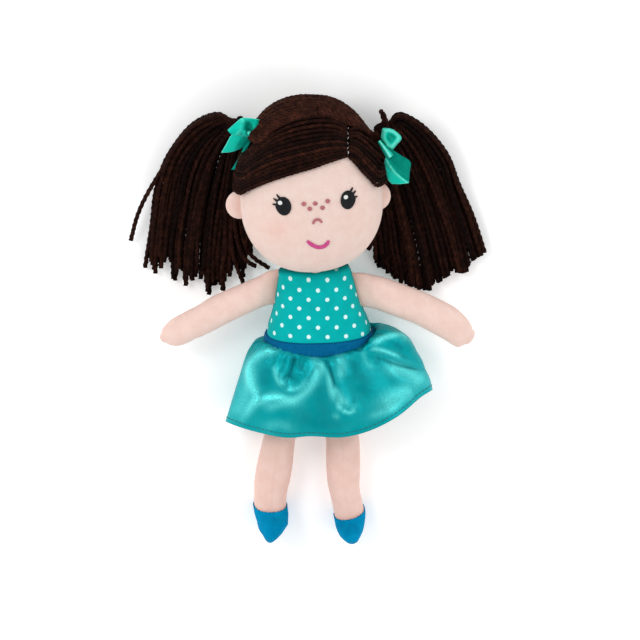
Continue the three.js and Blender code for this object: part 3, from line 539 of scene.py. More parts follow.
def buildStrandTree():
    tree = bpy.data.node_groups.new("strandTree", "GeometryNodeTree")
    tree.is_modifier = True
    face = tree.interface
    face.new_socket(name="Geometry", in_out="INPUT", socket_type="NodeSocketGeometry")
    for label, default in (
        ("Strand Radius", 0.0014), ("Step", 0.0018), ("Turn Length", 0.014), ("Plies", 3.0),
        ("Ply Depth", 0.15)
    ):
        face.new_socket(name=label, in_out="INPUT", socket_type="NodeSocketFloat").default_value = default
    face.new_socket(name="Sides", in_out="INPUT", socket_type="NodeSocketInt").default_value = 9
    face.new_socket(name="Finish", in_out="INPUT", socket_type="NodeSocketMaterial")
    face.new_socket(name="Geometry", in_out="OUTPUT", socket_type="NodeSocketGeometry")
    given = addNode(tree, "NodeGroupInput").outputs
    curve = addNode(tree, "GeometryNodeMeshToCurve", {"Mesh": given["Geometry"]})
    even = addNode(
        tree, "GeometryNodeResampleCurve", {"Curve": curve.outputs[0], "Length": given["Step"]}, mode="LENGTH"
    )
    reach = addNode(tree, "GeometryNodeSplineParameter").outputs["Length"]
    turns = addNode(
        tree, "ShaderNodeMath", {0: reach, 1: given["Turn Length"]}, operation="DIVIDE"
    ).outputs[0]
    phase = addNode(tree, "GeometryNodeInputNamedAttribute", {"Name": "phase"}, data_type="FLOAT").outputs[0]
    tilt = addNode(
        tree, "ShaderNodeMath", {0: turns, 1: 2 * math.pi, 2: phase}, operation="MULTIPLY_ADD"
    ).outputs[0]
    twisted = addNode(tree, "GeometryNodeSetCurveTilt", {"Curve": even.outputs[0], "Tilt": tilt})
    taper = addNode(tree, "GeometryNodeInputNamedAttribute", {"Name": "taper"}, data_type="FLOAT").outputs[0]
    circle = addNode(
        tree, "GeometryNodeCurvePrimitiveCircle",
        {"Resolution": given["Sides"], "Radius": given["Strand Radius"]}
    )
    wayRound = addNode(tree, "GeometryNodeSplineParameter").outputs["Factor"]
    lobes = addNode(tree, "ShaderNodeMath", {0: wayRound, 1: given["Plies"]}, operation="MULTIPLY").outputs[0]
    angle = addNode(tree, "ShaderNodeMath", {0: lobes, 1: 2 * math.pi}, operation="MULTIPLY").outputs[0]
    wave = addNode(tree, "ShaderNodeMath", {0: angle}, operation="COSINE").outputs[0]
    swell = addNode(
        tree, "ShaderNodeMath", {0: wave, 1: given["Ply Depth"], 2: 1.0}, operation="MULTIPLY_ADD"
    ).outputs[0]
    spot = addNode(tree, "GeometryNodeInputPosition").outputs[0]
    lobed = addNode(tree, "ShaderNodeVectorMath", {0: spot, "Scale": swell}, operation="SCALE").outputs[0]
    profile = addNode(tree, "GeometryNodeSetPosition", {"Geometry": circle.outputs[0], "Position": lobed})
    # painted shade for the grooves between the plies, which the yarn's finish reads
    groove = addNode(tree, "ShaderNodeMath", {0: wave, 1: -0.3, 2: 0.3}, operation="MULTIPLY_ADD").outputs[0]
    marked = addNode(
        tree, "GeometryNodeStoreNamedAttribute",
        {"Geometry": profile.outputs[0], "Name": "groove", "Value": groove}, data_type="FLOAT", domain="POINT"
    )
    skin = addNode(
        tree, "GeometryNodeCurveToMesh",
        {"Curve": twisted.outputs[0], "Profile Curve": marked.outputs[0], "Scale": taper, "Fill Caps": True}
    )
    smooth = addNode(tree, "GeometryNodeSetShadeSmooth", {0: skin.outputs[0]})
    real = addNode(tree, "GeometryNodeRealizeInstances", {0: smooth.outputs[0]})
    coloured = addNode(
        tree, "GeometryNodeSetMaterial", {"Geometry": real.outputs[0], "Material": given["Finish"]}
    )
    addNode(tree, "NodeGroupOutput", {0: coloured.outputs[0]})
    return tree


strandTree = buildStrandTree()


def drawStrands(
    name, paths, finish, radius, step=1.8, turn=14.0, plies=3, depth=0.15, sides=9, shades=None, tapers=None
):
    # paths are lines of points in millimetres; each becomes one thread or yarn
    points = np.concatenate([np.asarray(path, float) for path in paths])
    edges, start = [], 0
    shade, phase, taper = [], [], []
    for k, path in enumerate(paths):
        edges += [(start + i, start + i + 1) for i in range(len(path) - 1)]
        start += len(path)
        shade += [0.5 if shades is None else shades[k]] * len(path)
        phase += [2.4 * k] * len(path)
        taper += [1.0] * len(path) if tapers is None else list(
            np.interp(np.linspace(0, 1, len(path)), np.linspace(0, 1, len(tapers)), tapers)
        )
    mesh = bpy.data.meshes.new(name + "Paths")
    mesh.from_pydata(place(points).tolist(), edges, [])
    guide = addObject(name + "Paths", mesh)
    for label, values in (("shade", shade), ("phase", phase), ("taper", taper)):
        paint(guide, label, values)
    modifier = guide.modifiers.new("strands", "NODES")
    modifier.node_group = strandTree
    wanted = {
        "Strand Radius": radius / 1000, "Step": step / 1000, "Turn Length": turn / 1000,
        "Plies": float(plies), "Ply Depth": float(depth), "Sides": sides, "Finish": finish
    }
    for socket in strandTree.interface.items_tree:
        if socket.in_out == "INPUT" and socket.name in wanted:
            modifier[socket.identifier] = wanted[socket.name]
    bpy.context.view_layer.update()
    made = bpy.data.meshes.new_from_object(guide.evaluated_get(bpy.context.evaluated_depsgraph_get()))
    bpy.data.objects.remove(guide)
    made.name = name
    return addObject(name, made)


# head

headSize = {
    "wide": 46.0, "above": 64.0, "below": 47.0, "deep": 34.5,  # half sizes in millimetres
    "square": 2.15, "turn": 5.0, "seam": 0.45, "rows": 84, "sides": 112,
    "blushAndWarmShade": [(-25, -10, 0.42), (25, -9, 0.2), (1, -34, 0.1)],  # across, up, and how strong
}
headCentre = np.array((1.0, 89.6, 37.2))
turnCos, turnSin = math.cos(math.radians(headSize["turn"])), math.sin(math.radians(headSize["turn"]))


def headToDoll(points):
    p = np.asarray(points, float)
    return np.stack(
        [p[..., 0] * turnCos + p[..., 2] * turnSin, p[..., 1], p[..., 2] * turnCos - p[..., 0] * turnSin], -1
    ) + headCentre


def dollToHead(points):
    p = np.asarray(points, float) - headCentre
    return np.stack(
        [p[..., 0] * turnCos - p[..., 2] * turnSin, p[..., 1], p[..., 0] * turnSin + p[..., 2] * turnCos], -1
    )


def headSkin(ways, lift=0.0):
    # the place on the head, in its own millimetres, that each direction of a unit ball goes to
    ways = np.asarray(ways, float)
    ways = ways / np.linalg.norm(ways, axis=-1, keepdims=True)
    x, y, z = ways[..., 0], ways[..., 1], ways[..., 2]
    flat = np.maximum(np.hypot(x, y), 1e-9)
    power = headSize["square"]
    fuller = (np.abs(x / flat) ** power + np.abs(y / flat) ** power) ** (-1 / power)
    high = np.where(y > 0, headSize["above"], headSize["below"])
    x, y = x * fuller * (headSize["wide"] + lift), y * fuller * (high + lift)
    return np.stack([x, y, z * (headSize["deep"] + lift)], -1)


def wayAt(x, y):
    # the direction whose place on the head's front lies x across and y up from its middle
    x, y = np.asarray(x, float), np.asarray(y, float)
    a, b = x / headSize["wide"], y / np.where(y > 0, headSize["above"], headSize["below"])
    power = headSize["square"]
    reach = np.clip((np.abs(a) ** power + np.abs(b) ** power) ** (1 / power), 0, 0.9999)
    flat = np.maximum(np.hypot(a, b), 1e-9)
    return np.stack([a / flat * reach, b / flat * reach, np.sqrt(1 - reach**2)], -1)


def onHead(x, y, lift=0.0):
    return headSkin(wayAt(x, y), lift)


def photoOnHead(pixels, lift=0.0):
    # where on the head, across and up from its middle, each place of the picture lies
    pixels = np.atleast_2d(np.asarray(pixels, float))
    spot = dollToHead(fromPhoto(pixels, 66.0))[:, :2]
    for step in range(25):  # each step brings it nearer
        off = pixels - toPhoto(headToDoll(onHead(spot[:, 0], spot[:, 1], lift)))
        spot += off * (0.55, -0.58)
    return spot


def buildHead():
    rings = headSkin(ballWays(headSize["rows"], headSize["sides"], 0.01))
    groove = np.exp(-((rings[..., 2] / 0.9) ** 2)) * headSize["seam"]
    rings = rings * (1 - groove / 45)[..., None]
    head = loft("head", headToDoll(rings), skinFace)
    x, y, z = dollToHead((np.array([v.co for v in head.data.vertices]) - origin) * 1000).T
    cheeks = 0 * x
    for at, up, most in headSize["blushAndWarmShade"]:
        cheeks += most * np.exp(-(((x - at) / 13) ** 2 + ((y - up) / 10) ** 2)) * (z > 0)
    paint(head, "blushAndWarmShade", cheeks)
    # painted shade along the side seam where the face panel meets the back
    paint(head, "paintedShade", np.exp(-((z / 1.1) ** 2)) * 0.5)
    wear(head, "head", ("face_panel", "head_back", "head_filling"))


ears = {
    "wide": 8.9, "high": 9.4, "deep": 3.3, "hollow": 0.5, "rows": 26, "sides": 36,
    # each ear's blush sets how much painted warm shade lies at its root
    "right": {"side": -1, "at": (-46.2, 0.5, -2.0), "blushAndWarmShade": 0.3},
    "left": {"side": 1, "at": (42.4, -1.4, -2.0), "blushAndWarmShade": 1.6},
}


def buildEars():
    ways = ballWays(ears["rows"], ears["sides"])
    level = np.hypot(ways[..., 0], ways[..., 2])
    for name in ("right", "left"):
        ear = ears[name]
        x, y = ways[..., 0] * ears["wide"], ways[..., 1] * ears["high"]
        z = ways[..., 2] / level * level**0.8 * ears["deep"]
        hollow = np.exp(-(((x * ear["side"] - 0.5) / 4.0) ** 2 + ((y + 0.5) / 5.0) ** 2)) * (z > 0)
        z = z - ears["hollow"] * hollow
        piece = loft(name + "_ear", headToDoll(np.stack([x, y, z], -1) + ear["at"]), skinPlush)
        root = smoothStep(0.5, -3.5, x * ear["side"])  # warmer where the ear meets the cheek
        # painted shade in the hollow and at the root, and painted warm shade where the ear meets the cheek
        paint(piece, "paintedShade", np.append(0.12 * hollow + 0.3 * root, [0, 0]))
        paint(piece, "blushAndWarmShade", np.append(ear["blushAndWarmShade"] * root, [0, 0]))
        wear(piece, "head", (name + "_ear",))


def satinStitch(railOne, railTwo, lift=0.35, dome=0.5, spacing=0.5, points=9):
    # threads side by side from one rail to the other, over the head's surface
    one, two = np.asarray(railOne, float), np.asarray(railTwo, float)
    length = max(np.linalg.norm(np.diff(rail, axis=0), axis=1).sum() for rail in (one, two))
    count = max(int(round(length / spacing)), 3)
    one, two = along(one, count), along(two, count)
    t = np.linspace(0, 1, points)[:, None]
    threads = []
    for k in range(count):
        flat = one[k] * (1 - t) + two[k] * t
        width = np.linalg.norm(two[k] - one[k])
        rise = lift + dome * min(1, width / 3) * np.sin(math.pi * t[:, 0]) ** 0.6
        way = wayAt(flat[:, 0], flat[:, 1])
        threads.append(headToDoll(np.stack([headSkin(way[i], rise[i]) for i in range(points)])))
    return threads


def strokeRails(path, width, count=24, ends=0.5):
    # the two edges of a stitched stroke with rounded ends
    line = along(path, count)
    step = np.gradient(line, axis=0)
    normal = np.stack([-step[:, 1], step[:, 0]], -1) / np.linalg.norm(step, axis=1)[:, None]
    t = np.linspace(0, 1, count)
    half = width / 2 * np.clip(np.minimum(t, 1 - t) / 0.12, ends, 1) ** 0.5
    return line + normal * half[:, None], line - normal * half[:, None]


face = {
    "eyes": {"right": (284.0, 206.8), "left": (347.4, 200.6)}, "eyeWide": 9.1, "eyeHigh": 12.0,
    "glints": {"right": (281.2, 203.5), "left": (344.7, 198.0)},
    "lashes": {
        "right": [
            ((279.2, 205.9), (273.2, 204.7)), ((279.5, 202.6), (274.0, 199.2)),
            ((281.2, 200.2), (277.1, 195.2))
        ],
        "left": [
            ((351.6, 198.8), (356.8, 197.0)), ((350.9, 196.2), (355.2, 191.5)),
            ((349.2, 193.8), (352.2, 188.2))
        ],
    },
    "mouth": [(307.6, 241.3), (312.0, 244.8), (317.7, 247.2), (323.2, 246.7), (326.6, 244.1), (328.4, 241.0)],
    "mouthWide": 2.4,
    "nose": [(313.0, 224.2), (314.5, 221.2), (317.6, 219.8), (320.2, 221.0), (321.5, 222.8)], "noseWide": 1.5,
    "freckles": [(304.0, 204.6), (309.8, 209.4), (315.2, 204.2), (322.4, 208.4), (327.6, 201.9)],
    "freckleWide": 2.6,
    "thread": 0.33, "lashShifts": (-0.6, -0.3, 0, 0.3, 0.6),
}


def ovalRails(x, y, wide, high, count=26):
    t = np.linspace(0.04, 0.96, count) * math.pi
    across = x - wide / 2 * np.cos(t)
    return np.stack([across, y - high / 2 * np.sin(t)], -1), np.stack([across, y + high / 2 * np.sin(t)], -1)


def sew(name, threads, finish, step=0.5):
    return drawStrands(name, threads, finish, face["thread"], step=step, depth=0.0, sides=6)


def buildFace():
    for side in ("right", "left"):
        x, y = photoOnHead(face["eyes"][side])[0]
        threads = satinStitch(*ovalRails(x, y, face["eyeWide"], face["eyeHigh"]), dome=1.0)
        for root, tip in face["lashes"][side]:
            root, tip = photoOnHead([root, tip])
            way = tip - root
            across = np.array((-way[1], way[0])) / np.linalg.norm(way)
            for shift in face["lashShifts"]:
                t = np.linspace(0, 1 - 0.2 * abs(shift), 6)[:, None]
                line = root + across * shift * (1 - 0.7 * t) + way * t
                threads.append(headToDoll(onHead(line[:, 0], line[:, 1], lift=0.45)))
        eye = sew(side + "_eye", threads, eyeThread, 0.8)
        x, y = photoOnHead(face["glints"][side])[0]
        glint = satinStitch(*ovalRails(x, y, 2.6, 2.8), lift=1.15, dome=0.4, spacing=0.45)
        spark = sew(side + "_glint", glint, whiteThread)
        wear(join(side + "_eye", eye, spark), "head", (side + "_eye",))
    for name, finish, slotName, dome in (
        ("mouth", mouthThread, "mouth_thread", 0.6), ("nose", freckleThread, "freckle_thread", 0.4)
    ):
        rails = strokeRails(photoOnHead(face[name]), face[name + "Wide"])
        wear(sew(name, satinStitch(*rails, dome=dome), finish), "head", (name,))
    dots = []
    for x, y in photoOnHead(face["freckles"]):
        dots += satinStitch(*ovalRails(x, y, face["freckleWide"], face["freckleWide"]), dome=0.5)
    nodes = ["freckle_%d" % i for i in range(1, 6)]
    wear(sew("freckles", dots, freckleThread), "head", nodes)


buildHead()
buildEars()
buildFace()
print("head and face made")

# neck, bodice, hips and waistband

torso = {
    "rows": [  # height, half width, half depth, sideways shift and height above the table
        (43.2, 20.5, 6.5, -0.4, 26.5), (41.4, 22.6, 9.5, -0.3, 26), (36.5, 23.7, 15, 0, 24.5),
        (29, 25.6, 20.5, 0, 22.6), (14.8, 28.5, 22, 0, 21.5),
        (4, 32.3, 22, 0, 22.9), (-4.5, 34, 22, 0, 23.5), (-18.5, 33, 20.5, -2.5, 22.4),
        (-33, 30.6, 12.3, -5.3, 15), (-44, 27, 3, -7, 14),
    ],
    "square": 2.4, "sides": 72, "dot": (1.6, 30.7), "dotStart": (6.05, 6.075),
    "rings": 70, "hipRings": 40, "hipTighter": 0.4, "armhole": 24,  # the height of the armholes' middle
    # the cap's rings: share of the top's width and height above it, then the row that stands at each height
    "caps": [(0.5, -1.2), (0.8, -0.5), (0.95, 0.1)],
    "heights": ([-18.5, -4.5, 4, 14.8], [7, 6, 5, 4]),
}
neckSize = {
    "radius": 9.4, "rows": 20, "sides": 32,
    "seamOut": 10.7, "seamIn": 9.9, "seamFrom": 0.42, "seamTo": 0.88, "seamSides": 96, "puckers": 24,
    "pucker": 0.18,
}


def torsoRings(first, last, count, grow=0.0):
    stations = np.linspace(first, last, count)
    rows = spline(torso["rows"], stations)
    c, s = superOval(aroundTurn(torso["sides"], -math.pi / 2), torso["square"])
    rings = np.zeros((count, torso["sides"], 3))
    rings[..., 0] = rows[:, 3:4] + c * (rows[:, 1:2] + grow)
    rings[..., 1] = rows[:, 0:1]
    rings[..., 2] = np.maximum(rows[:, 4:5] + s * (rows[:, 2:3] + grow), 0.15)
    return rings


def clothPlaces(rings):
    # how far round from the front's middle and how far up each point lies; the rings start at the back
    closed = np.concatenate([rings, rings[:, :1]], 1)
    steps = np.linalg.norm(np.diff(closed, axis=1), axis=-1)
    around = np.concatenate([np.zeros((len(rings), 1)), np.cumsum(steps, 1)], 1)
    return np.stack([around[:, rings.shape[1] // 2, None] - around, closed[..., 1]], -1)


def torsoAt(heights):
    return spline(torso["rows"], np.interp(heights, *torso["heights"]))


def buildNeck():
    # a small stuffed ball under the chin, and the puckered seam that holds the head to it
    ball = ballWays(neckSize["rows"], neckSize["sides"]) * neckSize["radius"]
    neck = loft("neck", ball + neckPivot, skinPlush)
    stuff(neck, 0.3, np.zeros(len(neck.data.vertices), bool))
    wear(neck, "neck", ("neck",))
    steps = np.linspace(neckSize["seamFrom"], neckSize["seamTo"], 9)
    angle = aroundTurn(neckSize["seamSides"])
    pucker = neckSize["pucker"] * np.sin(neckSize["puckers"] * angle)
    rings = []
    for wall, wave, latitudes in (("seamOut", pucker, steps), ("seamIn", 0 * pucker, steps[::-1])):
        for a in latitudes:
            wide = np.cos(a) * (neckSize[wall] + wave)
            high = np.full(len(angle), math.sin(a) * neckSize[wall])
            rings.append(np.stack([wide * np.cos(angle), high, wide * np.sin(angle)], -1))
    seam = loft("neck_seam", np.array(rings + rings[:1]) + neckPivot, skinPlush, capped=False)
    wear(faceOutwards(seam), "neck_seam", ("neck_seam",))


def buildBodice():
    rings = torsoRings(0, 6.25, torso["rings"])
    top = rings[:1].copy()
    middle = top.mean(1, keepdims=True)
    rings = np.concatenate(
        [*(middle + (top - middle) * k + np.array((0, lift, 0)) for k, lift in torso["caps"]), rings]
    )
    for p in rings.reshape(-1, 3):  # the stuffed front is softly uneven
        uneven = 0.35 * noise.noise(Vector(p * (0.07, 0.05, 0.07)))
        p += uneven * np.array((np.sign(p[0]) * 0.4, 0, 1.0)) * (p[2] > 6)
    away = clothPlaces(rings) - torso["dot"]  # the printed rows lie a little turned on the body
    turned = [
        away[..., 0] * rollCos - away[..., 1] * rollSin, away[..., 0] * rollSin + away[..., 1] * rollCos
    ]
    bodice = loft("bodice", rings, dottedKnit, np.stack(turned, -1) + torso["dotStart"])
    x, y, z = rings.reshape(-1, 3).T
    # painted shade in the armholes, under the chin and along the side seams
    armhole = smoothStep(5.5, 0, np.abs(z - torso["armhole"])) * smoothStep(16, 21, y)
    armhole *= smoothStep(20, 24, np.abs(x))
    chin = smoothStep(38.5, 42.5, y) * 0.7
    isSeam = rowsAndColumns(rings, [0, 0], [0, 0])[1] % 36 == 18
    paint(bodice, "paintedShade", np.clip(np.append(armhole + chin, [0, 0]) + 0.5 * isSeam, 0, 1))
    high = np.append(y, [60, -60])
    stuff(bodice, 0.8, isSeam | (high < 0.5) | (high > 38))
    wear(bodice, "torso", ("bodice_front", "bodice_back", "torso_filling"))


def buildHips():
    rings = torsoRings(6.2, 9, torso["hipRings"], -torso["hipTighter"])
    hips = loft("hips", rings, skinPlush)
    stuff(hips, 0.3, rowsAndColumns(rings, [0, 0], [18, 18])[1] % 36 == 18)
    wear(hips, "torso", ("hip_front", "hip_back"))


waistband = {
    "sides": 120, "edge": 0.9, "rib": 1.5,
    # each edge's height at the back and its gain at the front and the side, then the section: share down, out
    "top": (-1.0, -2.7, -1.1), "bottom": (-8.9, -6.2, -1.6),
    "section": [(0.0, 0.2), (0.06, 0.9), (0.18, 1.35), (0.5, 1.6), (0.82, 1.35), (0.94, 0.9), (1.0, 0.2)],
}


def buildWaistband():
    c, s = superOval(aroundTurn(waistband["sides"], -math.pi / 2), torso["square"])
    front = np.maximum(s, 0) ** 1.2
    edges = (waistband["top"], waistband["bottom"])
    high, low = (level + more * front + side * c for level, more, side in edges)
    rows = []
    for t, out in waistband["section"]:
        y = high * (1 - t) + low * t
        body = torsoAt(y)
        z = np.maximum(body[:, 4] + s * (body[:, 2] + out), 0.4)
        rows.append(np.stack([body[:, 3] + c * (body[:, 1] + out), y, z], -1))
    inner = [row - np.stack([c, 0 * c, s], -1) * waistband["edge"] for row in (rows[-1], rows[0])]
    rings = np.array(rows + inner + rows[:1])
    cloth = clothPlaces(rings)
    cloth[..., 1] = np.arange(len(rings))[:, None] * waistband["rib"]
    band = loft("waistband", rings, ribbedBand, cloth, capped=False)
    # painted shade along both edges of the band
    paintedShade = np.zeros(rings.shape[:2])
    paintedShade[[0, 6, -1]] = 0.7  # along both edges
    paint(band, "paintedShade", paintedShade)
    wear(faceOutwards(band), "torso", ("waistband",))


buildNeck()
buildBodice()
buildHips()
buildWaistband()
print("torso made")

# skirt

skirt = {
    "top": [(265.6, 341.9), (280, 349), (297, 355), (323.5, 358.8), (354.4, 352), (366, 346.5), (374, 338.5)],
    "hem": [
        (225.3, 420.8), (251.7, 431), (285.4, 436.9), (310.3, 435.8), (341.2, 437.6), (369, 431),
        (398.4, 414.9), (430.6, 390)
    ],
    "left": [
        (265.6, 341.5), (256, 340.5), (251.0, 346), (246.5, 354.7), (238.5, 379.7), (231.5, 401),
        (225.3, 420.8)
    ],
    "right": [
        (374, 337), (380.5, 325.4), (394, 327.0), (408.6, 340), (420.4, 357.7), (424.5, 370), (430.6, 390)
    ],
    "columns": 150, "rows": 90, "thick": 0.5, "puckers": 34, "high": 62, "cut": (0.34, 0.064),
    "stitch": {"long": 2.3, "pitch": 3.1, "radius": 0.22, "at": 0.955},  # holds the turned hem
    # ridges and hollows: the line in the picture's pixels, half width in pixels and height in millimetres
    "folds": [
        (
            [
                (274, 350.5), (262, 354), (253.5, 362), (250.8, 374), (253.0, 386), (257.5, 397), (252, 409),
                (244, 420)
            ],
            5.0, 2.2
        ),
        ([(266, 368), (265.5, 388)], 11, 0.6),
        ([(293.8, 357), (291.8, 366), (288.5, 376), (285.5, 383)], 3.0, -3.0),
        ([(297, 366), (294, 376), (289, 382)], 3.0, -1.6),
        (
            [
                (277.5, 370), (279.5, 379), (283.5, 386), (290.5, 390.5), (300.5, 386), (307.5, 378.5),
                (313.5, 368), (316.5, 360)
            ],
            3.4, 2.2
        ),
        ([(255, 403), (268, 401), (283, 399), (297, 394), (308, 385), (315, 373)], 5.0, 1.8),
        ([(304, 360), (303, 366), (300, 374)], 2.6, -1.2),
        ([(325.2, 359), (329.5, 370), (333, 385), (338.5, 402)], 2.2, -2.8),
        ([(317.5, 360), (322, 366), (328, 377), (331.5, 388), (336, 401), (343, 410)], 2.4, 2.4),
        ([(322, 360), (325, 365), (331, 374)], 1.6, 1.2),
        ([(333, 362), (337, 374), (340, 388), (344.5, 400), (352, 409), (355, 403)], 3.4, 2.0),
        ([(366, 372), (365, 392)], 15, 1.2),
        ([(369, 349.5), (380, 354), (392.5, 361.5), (406, 366), (421.5, 368.5)], 1.7, -2.2),
        ([(371, 345.5), (382, 337.5), (392, 335.5), (402, 339), (411, 348)], 4.2, 2.2),
        ([(377, 348), (388, 351.5), (398.5, 357), (409, 362.5)], 2.2, 1.5),
        ([(377, 357), (388, 367), (399, 377.5), (414, 380), (427, 380)], 7.5, 2.0),
        ([(341, 361), (344, 368), (346, 378)], 4.0, 1.2),
        ([(358, 352), (368, 358), (378, 364)], 3.0, -1.0),
        ([(384, 410), (398, 403), (410, 395)], 6.0, 1.0),
        ([(270, 354), (268, 362)], 2.6, -0.8),
    ],
    # painted highlights where the floats lie to the light: line, half width in pixels, strength
    "lights": [
        (
            [
                (275, 350.5), (262, 354.5), (252.8, 363.3), (251, 372.5), (253, 383.2), (257.5, 396),
                (251, 408), (243, 419)
            ],
            3.8, 0.62
        ),
        ([(250.5, 366), (249, 385), (244, 400), (235, 417)], 7.0, 0.42),
        (
            [
                (259, 402), (273.5, 396.0), (291.9, 398.5), (304.1, 392.4), (313.3, 381.7), (317.9, 369.4),
                (314.9, 360)
            ],
            4.0, 0.66
        ),
        ([(268, 407), (283, 403), (300, 402)], 4.5, 0.4),
        ([(275, 367.9), (278.1, 377.1), (283.5, 384)], 2.6, 0.5),
        ([(288, 388.5), (300, 386), (307.5, 378.5)], 2.0, 0.4),
        (
            [(321, 363.3), (330.2, 383.2), (334.8, 397), (342.4, 409.3), (351.6, 412.3), (353.5, 404.7)], 1.9,
            0.8
        ),
        ([(335, 388), (339.8, 396), (347, 404)], 2.8, 0.65),
        ([(331, 402), (334, 412), (338, 419)], 1.4, 0.4),
        ([(340.9, 358), (341.5, 366.4), (340, 377)], 4.0, 0.45),
        ([(374, 343.5), (384, 338), (397.5, 335.8), (406, 342)], 2.2, 0.75),
        ([(372, 348.5), (384, 351), (397.5, 356)], 1.8, 0.7),
        ([(388.4, 366.4), (406.7, 372), (423, 382)], 6.5, 0.6),
        ([(383, 404), (397, 396), (413, 389)], 8.5, 0.55),
        ([(372, 416), (384, 411), (398, 404)], 4.0, 0.35),
        ([(363, 352), (366, 362), (372, 368)], 2.5, 0.25),
        ([(267, 426), (280, 424), (292, 428)], 5.0, 0.25),
    ],
    # painted shade where the floats turn from the light: line, half width in pixels, strength
    "darks": [
        ([(267, 367), (265, 376), (266, 386)], 7.0, 0.45), ([(286, 357), (280, 363)], 3.0, 0.3),
        ([(294, 358), (291, 368), (287.5, 381)], 2.2, 1.0),
        ([(298, 358), (302, 372), (293, 384)], 4.5, 0.4), ([(326, 360), (331, 374), (334, 388)], 1.9, 0.9),
        ([(320, 384), (322, 400), (326, 418)], 9.0, 0.35),
        ([(360, 372), (366, 382), (360, 396)], 9.0, 0.4), ([(300, 416), (320, 424), (345, 424)], 8.0, 0.3),
        ([(374, 356), (390, 362.5), (420, 370.5)], 1.3, 0.7),
        ([(395, 343), (404, 349)], 4.0, 0.5), ([(381, 328), (372, 338)], 4.0, 0.5),
        ([(356, 360), (350, 380)], 5.0, 0.3), ([(256, 340), (247, 355)], 3.0, 0.35),
    ],
}


def blendEdges(columnsAcross, v):
    # the skirt's outline in the picture, filled from its top edge to its hem and bowed out to its two sides
    share = np.linspace(0, 1, 200)
    top, hem = (
        readLine(along(skirt[edge], len(share)), share, columnsAcross)[None] for edge in ("top", "hem")
    )
    u, v = columnsAcross[None, :, None], v[..., None]
    flat = (1 - v) * top + v * hem
    for edge, weight in (("left", (1 - u) ** 4), ("right", u**4)):
        line = along(skirt[edge], len(v))
        flat = flat + (line[:, None] - (1 - v) * line[0] - v * line[-1]) * weight
    return flat


def markLines(flat, columns, lines, values):
    # adds each line's value to the points beside it in the picture, fading to the line's ends
    for line, width, amount in lines:
        away, where = distanceTo(flat[:, columns], along(line, 24))
        fade = smoothStep(0, 0.12, where + 0.04) * smoothStep(1.0, 0.8, where - 0.02)
        values[:, columns] += amount * np.exp(-((away / width) ** 2)) * (0.35 + 0.65 * fade)


def skirtForm():
    # the points of the skirt, the way out at each, and the painted highlight and painted shade each takes
    # as it turns to and from the light
    frontColumns = skirt["columns"] * 3 // 5
    backColumns = skirt["columns"] - frontColumns
    halves = ((math.pi, 0, frontColumns), (0, -math.pi, backColumns))
    angle = np.concatenate([np.linspace(*half, endpoint=False) for half in halves])
    c, s = superOval(angle, torso["square"])
    across = (1 + c) / 2  # 0 at the viewer's left outline and 1 at the right
    down = np.linspace(0, 1, skirt["rows"])[:, None]
    flat = blendEdges(across, down)
    middle = 23.5 - 6.5 * down  # the height where the skirt is widest
    crown = 46.5 - 1.5 * down + 3.0 * np.exp(-(((down - 0.25) / 0.22) ** 2))
    points = fromPhoto(flat, middle + (crown - middle) * np.abs(s))
    sideLines = fromPhoto(flat[:, [0, frontColumns]], np.repeat(middle, 2, 1))
    isBack = s < 0
    share = across[isBack][None, :, None]
    back = sideLines[:, :1] * (1 - share) + sideLines[:, 1:] * share
    lift = 1.0 + 4.0 * down * (c[isBack] ** 2)[None] + 0.5 * (1 - down)
    depth = (np.abs(s[isBack]) ** 0.8)[None]
    back[..., 2] = middle * (1 - depth) + lift * depth
    back[..., 1] += -1.0 - 1.5 * depth * down
    points[:, isBack] = back
    relief, bright, dark = (np.zeros(points.shape[:2]) for part in range(3))
    for lines, values in ((skirt["folds"], relief), (skirt["lights"], bright), (skirt["darks"], dark)):
        markLines(flat, ~isBack, lines, values)
    relief *= smoothStep(0, 0.10, down)
    fine = np.sin(skirt["puckers"] * angle + 1.3 * np.sin(5 * angle))
    broad = np.sin(19 * angle + 2 * np.sin(3 * angle))
    gather = 0.75 * np.exp(-down * 5.5) * fine + 0.35 * np.exp(-down * 2.5) * broad
    hemWave = smoothStep(0.55, 1, down) * 1.1 * np.sin(7 * angle + 0.8)
    relief += (gather + hemWave * (s > -0.2)) * (0.4 + 0.6 * smoothStep(0, 0.05, down))
    normal = np.cross(np.gradient(points, axis=0), np.roll(points, -1, 1) - np.roll(points, 1, 1))
    normal /= np.maximum(np.linalg.norm(normal, axis=-1, keepdims=True), 1e-9)
    centre = points.mean(1, keepdims=True)
    normal *= np.sign(((points - centre) * normal * (1, 0, 1)).sum(-1, keepdims=True).mean())
    points = points + normal * relief[..., None] * np.where(isBack, 0.35, 1.0)[None, :, None]
    points[..., 2] = np.maximum(points[..., 2], 0.6)
    # the gathered top turns in under the waistband, down to the body
    at = points[0, :, 1] + 1.2
    body = torsoAt(at)
    deep = np.maximum(body[:, 4] + s * (body[:, 2] + 0.3), 0.8)
    inside = np.stack([body[:, 3] + c * (body[:, 1] + 0.3), at, deep], -1)
    points = np.concatenate([[inside, inside * 0.4 + points[0] * 0.6 + (0, 0.5, 0)], points])
    normal, bright, dark = (np.concatenate([part[:1], part[:1], part]) for part in (normal, bright, dark))
    down = np.concatenate([[[-0.06], [-0.03]], down])
    return (down, *(np.roll(part, backColumns // 2, 1) for part in (points, normal, bright, dark)))


